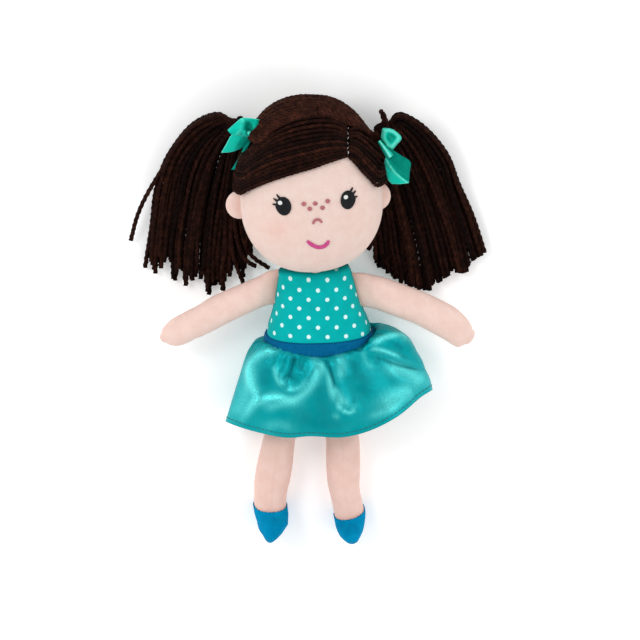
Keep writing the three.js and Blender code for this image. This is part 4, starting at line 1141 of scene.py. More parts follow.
def buildSkirt():
    down, points, normal, bright, dark = skirtForm()
    cloth = clothPlaces(points)
    cloth[..., 1] = down * skirt["high"]
    piece = loft("skirt", points, skirtSatin, cloth, capped=False)
    # painted shade in the dark lines and under the waistband, and painted highlights along the light lines
    paint(piece, "paintedShade", np.clip(dark + 0.5 * np.exp(-down * 30), 0, 1))
    paint(piece, "paintedHighlight", np.clip(bright * (1 - 0.8 * dark), 0, 1))
    solid = piece.modifiers.new("cloth", "SOLIDIFY")
    solid.thickness, solid.offset = skirt["thick"] / 1000, 0
    stitch = skirt["stitch"]
    row = int(skirt["rows"] * stitch["at"]) + 2
    ring = points[row] + normal[row] * 0.45
    ring = np.concatenate([ring, ring[:1]])
    reach = reachOf(ring)
    stitches = []
    for start in np.arange(0, reach[-1] - 2.5, stitch["pitch"]):
        path = readLine(ring, reach, np.linspace(start, start + stitch["long"], 5))
        path[[0, -1], 2] -= 0.25
        stitches.append(path)
    hemStitch = drawStrands(
        "hem_stitch", stitches, skirtThread, stitch["radius"], step=0.6, depth=0.0, sides=5
    )
    start, end = Vector(place((0, -12, 25))), Vector(place((-7, -58, 14)))
    for part in (piece, hemStitch):
        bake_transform(part)
    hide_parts("skirt")


buildSkirt()
print("skirt made")

# arms

arms = {
    "right": {
        "upper": [
            (281.0, 268.6), (268, 271.5), (258, 277), (241, 284.3), (224, 291.6), (210, 298.1), (198, 305.8),
            (185, 312.3), (172, 319.6), (166, 325), (162.5, 329.5), (161.4, 334)
        ],
        "lower": [
            (275.5, 304.2), (267, 305.3), (259.5, 308), (247, 313.6), (231, 321.2), (217, 328.5),
            (205, 334.5), (195.5, 338.5), (186, 343.2), (178, 345.4), (171, 344.7), (165.5, 342.2)
        ],
    },
    "left": {
        "upper": [
            (350.3, 272.6), (362, 273), (372, 275), (385, 278.2), (400, 283.5), (415, 289.2), (430, 295.2),
            (444, 302), (456, 308.8), (465, 317), (470.3, 324), (472.6, 330)
        ],
        "lower": [
            (356.5, 306.1), (368, 307.3), (377, 309.3), (389, 313.8), (402, 318.5), (415, 323.3),
            (427, 329.8), (438, 335.8), (447, 341), (452.5, 344.7), (458.5, 346.7), (465, 344)
        ],
    },
    "depth": [1.6, 4.2, 6.6, 8.0, 8.2, 8.2, 8.2, 8.1, 7.8, 6.9, 5.6, 3.6],
    "height": 24.5, "rings": 72, "sides": 36, "square": 2.1, "roundRings": 5, "roundShare": 0.55,
    "fold": 14,  # the ring at which the shoulder's bend ends
}


def armRings(side):
    stations = np.linspace(0, len(arms["depth"]) - 1, arms["rings"])
    upper, lower = (
        fromPhoto(spline(arms[side][edge], stations), arms["height"]) for edge in ("upper", "lower")
    )
    deep = np.maximum(spline(np.array(arms["depth"])[:, None], stations), 0.8)
    c, s = superOval(aroundTurn(arms["sides"]), arms["square"])
    middle, half = (upper + lower) / 2, (upper - lower) / 2
    rings = middle[:, None] + half[:, None] * c[None, :, None]
    rings[..., 2] = arms["height"] + s[None] * deep
    # a rounded end closes the last ring
    last = rings[-1]
    centre = last.mean(0)
    way = centre - rings[-3].mean(0)
    way /= np.linalg.norm(way)
    reach = np.linalg.norm(last - centre, axis=1).max() * arms["roundShare"]
    bends = np.linspace(0, math.pi / 2, arms["roundRings"] + 2)[1:-1]
    end = [centre + (last - centre) * math.cos(t) + way * reach * math.sin(t) for t in bends]
    return np.concatenate([rings, end])


def buildArms():
    for name in ("right_arm", "left_arm"):
        rings = armRings(name.split("_")[0])
        arm = loft(name, rings, skinPlush)
        row, column = rowsAndColumns(rings, [0, 99], [1, 1])
        isSeam = column % 18 == 0
        # painted shade at the shoulder's root, on the end sunk into the body and along the seams; the blush
        # mark adds painted warm shade near the root
        paint(arm, "paintedShade", np.append(smoothStep(8, 0, row[:-2]) * 0.35, [0.8, 0]) + 0.3 * isSeam)
        paint(arm, "blushAndWarmShade", np.append(0.15 * smoothStep(12, 3, row[:-2]), [0, 0]))
        stuff(arm, 0.7, isSeam | (row < 4))
        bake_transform(arm)
        wear(arm, None, [name + part for part in ("_tab", "_front", "_back", "_filling")])


buildArms()
print("arms made")

# hip seam, legs and shoes

legs = {
    "splay": {"right": 14.6, "left": 3.3}, "apart": 30.0, "root": 5.5, "length": 64.0,
    "foot": 36.5, "footHigh": 21.5, "throat": 0.13, "throatUp": 1.2, "rings": 78, "sides": 72, "square": 2.15,
    "shoe": {"over": 0.8, "rings": 46, "teeth": 24, "tooth": 0.42},  # covers the foot, edged in teeth
    "seam": {"long": 50.4, "wide": 5.0, "thick": 3.0}, "tab": {"long": 14, "wide": 4.6, "thick": 2.8},
    # how each leg is stuffed out of true: row of the picture, moves across and down, widening, slope
    "settled": {
        "right": [
            (405, 0, 0, 1, 0), (438, -5.6, 2, 0.91, 0), (477.6, -5, 6, 1.12, -0.04),
            (490, -3.3, 8.8, 1.06, -0.18), (499, -0.8, 9.6, 0.945, -0.24),
            (509, 3.0, 8.8, 0.855, -0.2), (519, 5.0, 8.3, 0.77, -0.14), (527, 4.1, 7.9, 0.56, -0.05),
            (531, 2.6, 7.9, 0.46, 0), (535, 0.5, 8, 0.38, 0),
        ],
        "left": [
            (405, 0, 0, 1, 0), (438, 3, 2, 0.95, 0), (477.6, -1, 9, 1.02, 0), (488, 1, 14.5, 1.0, -0.03),
            (495, 2.2, 18, 0.95, -0.07),
            (500, 2.1, 18.3, 0.89, -0.07), (510, 1.1, 16.5, 0.77, -0.03), (522, 0.7, 13.4, 0.6, 0),
            (528, 1.4, 11.8, 0.51, 0), (533.5, 3.4, 11, 0.4, 0),
        ],
    },
}
hipPoint = np.array((-7.0, -45.6, 14.0))


def legToDoll(points, side, straight=False):
    # X runs down the leg and Y across it, from its own pivot under the hip seam
    p = np.asarray(points, float)
    turn = math.radians(legs["splay"]["right" if side < 0 else "left"]) * side
    c, s = math.cos(turn), math.sin(turn)
    x = p[..., 0] * c - p[..., 1] * s + 12.4
    y = p[..., 0] * s + p[..., 1] * c + side * legs["apart"] / 2
    points = np.stack([hipPoint[0] + y, hipPoint[1] - x, hipPoint[2] + p[..., 2]], -1)
    if straight:
        return points
    middle = toPhoto(legToDoll(legRings(), side, True).mean(1))
    seen = toPhoto(points)
    rows = np.array(legs["settled"]["right" if side < 0 else "left"])
    across, down, wider, slope = (np.interp(seen[..., 1], rows[:, 0], rows[:, k]) for k in (1, 2, 3, 4))
    off = seen[..., 0] - np.interp(seen[..., 1], np.maximum.accumulate(middle[:, 1]), middle[:, 0])
    right = (off * (wider - 1) + across) * view["mmPerPixel"]
    below = (down + slope * off) * view["mmPerPixel"] / leanCos
    move = (right * rollCos - below * rollSin, -right * rollSin - below * rollCos, 0 * right)
    return points + np.stack(move, -1)


def legRows():
    length, high, foot, root = legs["length"], legs["footHigh"], legs["foot"], legs["root"]
    wide, ankle, shoe, deep, level = 11.2, 10.2, 11.3, 21.0, 14.0
    sole = length + high
    rows = [
        (0.5 * wide, 0.2, level + 0.9, 0.2, level - 0.9), (0.62 * wide, 2.3, level + 2.2, 2.3, level - 2.2),
        (0.8 * wide, 5, level + 3.8, 5, level - 3.8), (0.95 * wide, 9, level + 5.2, 9, level - 6.2),
        (wide, 0.22 * length, 0.98 * deep, 0.22 * length, 0.24 * deep),
        (wide, 0.38 * length, 1.02 * deep, 0.38 * length, 0.1 * deep),
        (0.98 * wide, 0.64 * length, deep, 0.64 * length, 0.02 * deep),
        (0.45 * 21.4, 0.86 * length, 0.98 * deep, 0.86 * length, 0.2),
        (ankle, length, 0.98 * deep, length + 0.09 * high, 0.2),
        (0.97 * shoe, length + 0.19 * high, 0.62 * foot, length + 0.58 * high, 0.3),
        (shoe, length + 0.3 * high, 0.74 * foot, sole - 0.07 * high, 0.15 * foot),
        (0.94 * shoe, length + 0.44 * high, 0.86 * foot, sole, 0.42 * foot),
        (0.72 * shoe, length + 0.62 * high, 0.955 * foot, sole - 0.4, 0.7 * foot),
        (0.4 * shoe, length + 0.76 * high, 0.99 * foot, sole - 3.2, 0.87 * foot),
    ]
    return np.array([(half, fx - root, fz - level, bx - root, bz - level) for half, fx, fz, bx, bz in rows])


def legRings(grow=0.0):
    rows = spline(legRows(), np.linspace(0, 13, legs["rings"]))
    c, s = superOval(aroundTurn(legs["sides"]), legs["square"])
    front, back = rows[:, 1:3], rows[:, 3:5]
    middle, half = (front + back) / 2, (front - back) / 2
    size = np.maximum(np.linalg.norm(half, axis=1, keepdims=True), 0.5)
    half = half * (size + grow) / size
    rings = np.zeros((len(rows), legs["sides"], 3))
    rings[..., 0] = middle[:, 0:1] + s * half[:, 0:1]
    rings[..., 1] = c * (rows[:, 0:1] + grow)
    rings[..., 2] = np.maximum(middle[:, 1:2] + s * half[:, 1:2], -13.85)
    return rings


def seamTab(name, across, down, size):
    # a flat pinched seam between two stuffed parts
    turn = aroundTurn(16)[:, None]
    rings = []
    for k in np.linspace(0, 1, 24):
        narrow = max(min(k, 1 - k) / 0.08, 0.3) ** 0.5 if min(k, 1 - k) < 0.08 else 1
        middle = np.array((across + (k - 0.5) * size["long"], down, hipPoint[2]))
        wave = 1 + 0.12 * math.sin(k * 40)
        wide = np.array((0, -size["wide"] / 2 * narrow, 0)) * np.cos(turn)
        rings.append(middle + wide + np.array((0, 0, size["thick"] / 2 * narrow * wave)) * np.sin(turn))
    tab = loft(name, rings, skinPlush)
    # the tucked seam is darkened all over with painted shade
    paint(tab, "paintedShade", 0.5)
    wear(tab, name, (name,))


def belowThroat(points):
    # how far down the leg from the shoe's slanting edge
    throat = legs["length"] - legs["root"] - legs["throatUp"] + legs["throat"] * (points[..., 2] + 14)
    return points[..., 0] - throat


def buildLeg(name, side):
    seamTab(name + "_leg_tab", hipPoint[0] + side * 15, -51.2, legs["tab"])
    form = legRings()
    depth = belowThroat(form)
    depth = depth[: int(np.argmax(depth.min(1) > 3.5)) + 1]
    rings = legToDoll(form[: len(depth)], side)
    piece = loft(name + "_leg", rings, skinPlush)
    front, back = legs["sides"] // 4, legs["sides"] * 3 // 4
    row, column = rowsAndColumns(rings, [0, 0], [front, front])
    # painted shade just above the shoe's edge, at the hip root and along the back and front seams
    paintedShade = smoothStep(-3.5, 0, depth.ravel()) * 0.55 + 0.6 * smoothStep(6, 0, row[:-2])
    isFront, isBack = column == front, column == back
    paint(piece, "paintedShade", np.append(np.clip(paintedShade * 0.6, 0, 1), [0.5, 0.5]) + 0.3 * isBack + 0.06 * isFront)
    paint(piece, "blushAndWarmShade", 0.28)
    stuff(piece, 0.7, isFront | isBack | (np.append(depth, [9, 9]) > -2.5) | (row < 3))
    nodes = [name + "_leg" + part for part in ("_inner", "_outer", "_filling")]
    wear(piece, name + "_leg", nodes)


def buildShoe(name, side):
    # its rows start at the slanting edge of its throat
    size, sides = legs["shoe"], legs["sides"]
    front, back = sides // 4, sides * 3 // 4
    outer = legRings(size["over"])
    depth = belowThroat(outer)
    rings = np.zeros((size["rings"], sides, 3))
    for i in range(sides):
        start = np.interp(0, depth[20:, i], np.arange(20, len(outer)))
        wanted = np.linspace(start, len(outer) - 1, size["rings"])
        rings[:, i] = readLine(outer[:, i], np.arange(len(outer)), wanted)
    scallop = size["tooth"] * np.sin(np.arange(sides) * 2 * math.pi * size["teeth"] / sides + 0.5)
    lip = [rings[0] * (1, 0.86, 1) + np.array((0.5, 0, 0)), rings[0] * (1, 0.93, 1) + np.array((-0.35, 0, 0))]
    rings[0, :, 0] += scallop - 0.2
    lip[1][:, 0] += scallop * 0.8
    seam = np.exp(-((np.arange(sides) - front) ** 2))
    rings[..., 2] -= 0.15 * seam * (rings[..., 2] > 0)
    rings = np.concatenate([lip, rings])
    shoe = loft(name + "_shoe", legToDoll(rings, side), shoePlush)
    # painted shade along the seams and inside the lip at the throat
    paintedShade = np.zeros(rings.shape[:2])
    paintedShade[:, front], paintedShade[:, back] = 0.1, 0.3
    paintedShade[:2] = 0.6
    paint(shoe, "paintedShade", np.append(paintedShade, [0.5, 0]))
    row, column = rowsAndColumns(rings, [0, 99], [front, front])
    stuff(shoe, 0.6, (column == front) | (column == back) | (row < 4))
    wear(shoe, name + "_leg", (name + "_shoe_inner", name + "_shoe_outer"))


def buildLegs():
    seamTab("hip_seam", hipPoint[0], -46.8, legs["seam"])
    for name, side in (("right", -1), ("left", 1)):
        buildLeg(name, side)
        buildShoe(name, side)


buildLegs()
print("legs and shoes made")

# hair on the head

hairSize = {
    "radius": 1.4, "lift": 1.6, "turn": 9.0, "crown": 60, "fringe": 13, "temple": 9,
    "parting": (317.2, 119.0),
    "stitchHeights": (2.5, 1.8, 1.6, 2.2, 1.7, 2.5),  # some of the white stitches sink into the yarn
    # the front strands of the crown, from the middle outwards to each bunch
    "crownFront": {
        "right": [(316.6, 118.6), (294, 124.0), (273, 133.5), (258, 144.0)],
        "left": [(318.4, 118.6), (341, 124.5), (358, 129.0), (371, 138.5)]
    },
    # the edges of the fringe and of the hair over the temple in the picture, from the parting outwards
    "fringeLow": [
        (347.2, 156.6), (330, 161.8), (304.6, 170.4), (283, 177.2), (261, 184.6), (248, 190.2), (241.5, 193.4)
    ],
    "fringeHigh": [
        (347.4, 130.6), (339, 123.6), (324.5, 120.0), (295, 124.5), (272, 134), (257.5, 144), (248.0, 153)
    ],
    "templeLow": [(348.6, 156.0), (354, 161.5), (362.5, 171.5), (371, 180.5), (377.6, 185.8)],
    "templeHigh": [(349.2, 131.0), (357, 130.2), (367, 135.5), (375, 143.5), (380.5, 152)],
}
ties = {
    "right": {"side": -1, "at": np.array((-38.5, 137.5, 30.4)), "out": np.array((-0.9, 0.15, -0.4))},
    "left": {"side": 1, "at": np.array((47.5, 129.0, 30.4)), "out": np.array((0.9, 0.15, -0.4))},
}


def hairRise(way):
    # the hair stands higher over the crown and the sides than at its edge
    way = way / np.linalg.norm(way)
    return 2.6 * float(smoothStep(0.62, 0.97, way[1])) + 1.3 * float(smoothStep(0.72, 0.98, abs(way[0])))


def overHead(controls, lifts, count=40):
    # a line over the head through control directions, at the given heights above its skin
    controls = np.array([c / np.linalg.norm(c) for c in controls])
    at = np.linspace(0, len(controls) - 1, count)
    ways = spline(controls, at)
    lifts = np.interp(at, np.arange(len(controls)), lifts)
    return headToDoll(np.stack([headSkin(w, l + hairRise(w)) for w, l in zip(ways, lifts)]))


def wayOf(point):
    # the head direction that points to a place in the doll's millimetres
    x, y, z = dollToHead(point)
    way = np.array((x / headSize["wide"], y / headSize["above" if y > 0 else "below"], z / headSize["deep"]))
    return way / np.linalg.norm(way)


def jitter(amount):
    return float(random.normal(0, amount))


def yarnShade(usual):
    return float(np.clip(random.normal(usual, 0.18), 0, 1))


def drawYarn(name, body, paths, shades, size, tapers):
    hair = drawStrands(name, paths, hairYarn, size["radius"], turn=size["turn"], shades=shades, tapers=tapers)
    wear(hair, body, (name,))


def buildCap():
    # a near-black sheet under the yarn: painted shade that shows between the strands, so that no skin shows
    # there
    ways = ballWays(90, 120)
    rows, sides = ways.shape[:2]
    lift = 0.5 + 0.9 * np.array([[hairRise(w) for w in row] for row in ways])
    local = np.array([[headSkin(w, l) for w, l in zip(*pair)] for pair in zip(ways, lift)])
    x, y, z = local[..., 0], local[..., 1], local[..., 2]
    fringe, temple = (photoOnHead(hairSize[part], 1.0) for part in ("fringeLow", "templeLow"))
    edge = np.concatenate([fringe[::-1], temple])
    hairline = np.interp(x, edge[:, 0], edge[:, 1]) + 1.2
    keep = np.where(z > -1, y > hairline, y > np.interp(np.abs(x), [0, 30, 44], [-29, -20, 2]))
    faces = []
    for r in range(rows - 1):
        for i in range(sides):
            j = (i + 1) % sides
            if keep[r, i] and keep[r, j] and keep[r + 1, i] and keep[r + 1, j]:
                faces.append((r * sides + i, (r + 1) * sides + i, (r + 1) * sides + j, r * sides + j))
    top = [((rows - 1) * sides + i, rows * sides, (rows - 1) * sides + (i + 1) % sides) for i in range(sides)]
    points = np.concatenate([local.reshape(-1, 3), [local[-1].mean(0)]])
    cap = makePiece("hair_cap", headToDoll(points), faces + top, hairGapShade)
    form = bmesh.new()
    form.from_mesh(cap.data)
    bmesh.ops.delete(form, geom=[v for v in form.verts if not v.link_faces], context="VERTS")
    form.to_mesh(cap.data)
    form.free()
    wear(faceOutwards(cap), "head")


def buildCrown(name, tie):
    # strands run from the middle parting over the top and the back of the head to the bunch
    side = tie["side"]
    goal = wayOf(tie["at"])
    drawn, shades = [], []
    startWay = wayAt(*photoOnHead([hairSize["parting"]], 3.0)[0])
    startAngle = math.degrees(math.atan2(startWay[2], startWay[1]))
    frontSpots = photoOnHead(hairSize["crownFront"][name], 2.0)
    frontWays = wayAt(frontSpots[:, 0], frontSpots[:, 1])
    for k in range(hairSize["crown"]):
        t = k / (hairSize["crown"] - 1)
        angle = math.radians(startAngle + 2 - (startAngle + 128) * t)
        middle = np.array((-0.012 * side + startWay[0] + jitter(0.006), math.cos(angle), math.sin(angle)))
        low = smoothStep(0.42, 1.0, t)
        turn = 2.4 * k
        bunch = goal + np.array((-0.02 * side, 0.05 * math.cos(turn), 0.07 * math.sin(turn)))
        beside = np.array((side, 0.05 + 0.25 * (1 - low), -0.25))
        across = middle * 0.5 + bunch * 0.5 + np.array((0, 0.10, 0.02)) * (1 - low)
        near = across * (1 - low) + beside * low
        late = bunch * 0.75 + near * 0.25
        lift = hairSize["lift"] + abs(jitter(0.3))
        controls = (middle, middle * 0.6 + near * 0.4, near, late, bunch)
        ways = np.array([c / np.linalg.norm(c) for c in controls])
        isFront = 1 - smoothStep(0, 0.34, t)
        ways[:4] = ways[:4] * (1 - isFront) + frontWays * isFront
        lifts = [lift - 0.2, lift + 0.3, lift + 0.5, lift + 1.0, lift + 1.4 + 0.8 * (k % 3)]
        path = overHead(ways, lifts, 50)
        end = tie["at"] + np.array((0, 2.8 * math.cos(turn), 2.8 * math.sin(turn)))
        drawn.append(np.concatenate([path, [end]]))
        # painted light: the crown's strands are painted lighter than the fringe and ponytails of the same
        # yarn
        shades.append(yarnShade(0.78))
    drawYarn("hair_back_" + name, "head", drawn, shades, hairSize, [1, 1, 1, 0.95, 0.8])


def buildFront(name, low, high, count, side):
    # strands fan out from the parting between two lines of the picture and turn back beside the head
    drawn, shades = [], []
    low, high = np.array(low), np.array(high)
    for k in range(count):
        t = k / (count - 1)
        line = low * (1 - t) + high * t
        lift = hairSize["lift"] + 0.35 + 0.5 * math.sin(math.pi * t) + abs(jitter(0.12))
        line[1:] += random.normal(0, 0.28, (len(line) - 1, 2))
        spots = photoOnHead(line, lift)
        controls = list(wayAt(spots[:, 0], spots[:, 1]))
        level = controls[-1][1]
        controls += [
            np.array((side * 0.99, level + 0.02, -0.10 + 0.1 * t)),
            np.array((side * 0.93, level + 0.10, -0.34))
        ]
        drawn.append(overHead(controls, [lift - 1.1] + [lift] * (len(line) - 1) + [lift, lift - 0.8], 76))
        # painted shade: the fringe's strands are painted darker than the crown's
        shades.append(yarnShade(0.36))
    drawYarn(name, "head", drawn, shades, hairSize, [0.75] + [1] * 9)


def buildParting():
    # small white stitches hold the parting
    stitches = []
    for k, high in enumerate(hairSize["stitchHeights"]):
        y = 154.5 - 4.8 * k
        a, b = (347.9 + 0.5 * (-1) ** k, y), (348.5 - 0.4 * (-1) ** k, y - 2.4)
        ends = photoOnHead([a, ((a[0] + b[0]) / 2, y - 1.2), b], 2.2)
        line = [onHead(*end, lift) for end, lift in zip(ends, (1.6, high, 1.6))]
        stitches.append(headToDoll(np.stack(line)))
    parting = drawStrands("parting_thread", stitches, whiteThread, 0.19, step=0.5, depth=0.0, sides=5)
    wear(parting, "head", ("parting_thread",))


buildCap()
for tieName, tie in ties.items():
    buildCrown(tieName, tie)
buildFront("hair_front_right", hairSize["fringeLow"], hairSize["fringeHigh"], hairSize["fringe"], -1)
buildFront("hair_front_left", hairSize["templeLow"], hairSize["templeHigh"], hairSize["temple"], 1)
buildParting()
print("hair on the head made")

# ponytails and hair ties

lockLines = {
    "right": [
        [(-55, 146, 25), (-72, 138, 18), (-87, 120, 12), (-96, 98, 8), (-101, 72, 6), (-105, 46, 5)],
        [(-53, 140, 24), (-66, 129, 17), (-78, 110, 11), (-85, 85, 8), (-90, 60, 6), (-92, 38, 5)],
        [(-50, 134, 23), (-60, 118, 15), (-68, 95, 10), (-74, 70, 7.5), (-78, 49, 6), (-79, 34, 5)],
        [(-48, 129, 22), (-53, 110, 14), (-58, 88, 9.5), (-62, 67, 7), (-65, 48, 6), (-66, 33, 5)],
        [(-45, 124, 21), (-47, 104, 12), (-50, 84, 8.5), (-52, 65, 6.5), (-54, 48, 5.5), (-55, 36, 5)],
        [(-46, 121, 16), (-41, 100, 8), (-41, 80, 6.5), (-42, 63, 6), (-43, 50, 5.5), (-43, 40, 5)],
    ],
    "left": [
        [(60, 140, 27), (74, 129, 19), (88, 108, 12), (94, 86, 8), (100.5, 63, 6), (106, 39, 5)],
        [(58, 133, 25), (69, 119, 16), (77, 98, 10.5), (83, 77, 8), (89, 53, 6), (93, 31, 5)],
        [(55, 123, 21), (60, 107, 14), (67, 87, 9.5), (72, 67, 7), (75.5, 47, 6), (78, 28, 5)],
        [(52, 118, 20), (54, 99, 12), (57, 79, 8), (60, 60, 6.5), (62, 44, 5.5), (63, 31, 5)],
        [(50, 114, 18), (48, 95, 9), (48, 76, 6.5), (49, 59, 6), (50, 46, 5.5), (51, 36, 5)],
        [(50, 111, 14), (43, 92, 7), (40, 73, 6), (40, 59, 5.5), (41, 49, 5), (41, 42, 5)],
    ],
}
ponytail = {
    "strands": 104, "radius": 1.48, "bunch": 5.6, "turn": 13.0,
    "thick": np.array((5.0, 6.0, 5.5, 4.5, 3.6, 3.0)),  # half the bunch's thickness, tie to ends
    "elastic": {"radius": 6.9, "thread": 0.95, "out": 4.2, "wide": 1.3},
    # the ragged line where the yarn is cut, and single stray strands, in the picture's pixels
    "cut": {
        "right": [
            (130, 240), (139, 262), (146, 273.5), (150, 256), (155, 273.6), (158.5, 258), (162, 272),
            (167, 252), (170, 256), (174, 283), (178, 270), (182, 268), (186, 286.5), (189, 272),
            (193.8, 285.5), (197, 270), (200.5, 281), (204, 268), (209, 297), (212, 280), (215.3, 291),
            (218.5, 278), (223.3, 291), (226, 272), (229.4, 277), (233, 262), (236, 262), (240, 270),
            (243, 283), (246, 262), (250, 250), (253.6, 265.3), (262, 262)
        ],
        "left": [
            (366, 246), (372, 250), (376, 262), (382, 279), (390, 281), (398, 284), (406.7, 288.3),
            (414, 287), (420.5, 290.6), (429.7, 290.6), (433, 283), (440, 281.5), (447.4, 276),
            (453.3, 268.2), (465, 274), (472, 262), (481.4, 255.8), (486, 250)
        ],
    },
    "strays": {
        "right": [
            [(238, 190), (240, 220), (245, 245), (254, 258), (268.8, 268)],
            [(234, 200), (236, 232), (241, 252), (248, 262), (255, 266)],
            [(228, 200), (231, 235), (234, 258), (243, 282.5)],
            [(175, 150), (150, 190), (138, 215), (131, 240)],
            [(222, 215), (226, 245), (222, 270), (223.5, 290)]
        ],
        "left": [
            [(385, 132), (383.4, 122), (380.6, 111.5)], [(387, 132), (385.6, 122), (382.6, 114)],
            [(378, 205), (377, 225), (373, 240), (368.4, 249)]
        ],
    },
}


def yarnLayer(k):
    return (k * 2) % 5  # which of five layers, the first nearest the table


def drawLock(name, tie, k, across, up, out):
    # one yarn of the bunch: out of the tie, down its own line and on to the ragged cut
    count = ponytail["strands"]
    q = (k + 0.5) / count
    line = spline(lockLines[name], np.array([np.clip(q * 5.5 - 0.25 + jitter(0.08), 0, 5)]))[0]
    spread = ponytail["bunch"] * math.sqrt(((k * 7) % count + 0.5) / count)
    turn = 2.4 * k
    start = tie["at"] + across * spread * math.cos(turn) + up * spread * math.sin(turn)
    neck = start * 0.86 + tie["at"] * 0.14 + out * 6
    wiggle = np.array((jitter(0.6), jitter(0.4)))
    line[:, :2] += np.cumsum(random.normal(0, 0.6, (6, 2)), 0) + wiggle
    line[:, 2] += (yarnLayer(k) - 2) / 2 * ponytail["thick"] * 0.62 + random.normal(0, 0.3, 6)
    line[:, 2] = np.maximum(line[:, 2], 1.5)
    # longer than wanted, then cut
    line = np.concatenate([line, [line[-1] * (2, 2, 1) - line[-2] * (1, 1, 0)]])
    path = along(np.concatenate([[start - out * 1.5, neck], line]), 80)
    seen, ends = toPhoto(path), np.array(ponytail["cut"][name])
    past = seen[:, 1] > np.interp(seen[:, 0], ends[:, 0], ends[:, 1]) + jitter(1.0)
    return path[: max(int(np.argmax(past)), 50) if past.any() else 80]


def buildPonytail(name, tie):
    out = tie["out"] / np.linalg.norm(tie["out"])
    across = np.cross((0, 0, 1), out)
    across /= np.linalg.norm(across)
    up = np.cross(out, across)
    drawn, shades = [], []
    for k in range(ponytail["strands"]):
        drawn.append(drawLock(name, tie, k, across, up, out))
        # painted shade: the lower layers of the bunch, nearer the table, are painted darker; each strand's
        # tone also varies at random
        shades.append(np.clip(0.04 + 0.06 * yarnLayer(k) + jitter(0.2), 0, 1))
    for k, pixels in enumerate(ponytail["strays"][name]):
        high = [36, 38, 40] if len(pixels) == 3 else [9 + 2 * (k % 2)] * (len(pixels) - 1) + [5]
        drawn.append(along(fromPhoto(pixels, high), 40))
        shades.append(0.5)
    drawYarn(name + "_ponytail", name + "_ponytail", drawn, shades, ponytail, [0.75, 1, 1, 1, 1, 1, 1.05])
    # a covered elastic wound twice round the bunch
    elastic = ponytail["elastic"]
    angle = np.linspace(0, 4 * math.pi, 90)[:, None]
    turn = across * (elastic["radius"] * np.cos(angle)) + up * (elastic["radius"] * np.sin(angle))
    wound = tie["at"] + out * elastic["out"] + turn + out * (elastic["wide"] * angle / (4 * math.pi))
    band = drawStrands(
        name + "_hair_tie", [wound], elasticCord, elastic["thread"], step=1.0, turn=5.0, plies=4, depth=0.1,
        sides=12
    )
    wear(band, name + "_ponytail", (name + "_hair_tie",))


for tieName, tie in ties.items():
    buildPonytail(tieName, tie)
print("ponytails made")

# ribbon bows

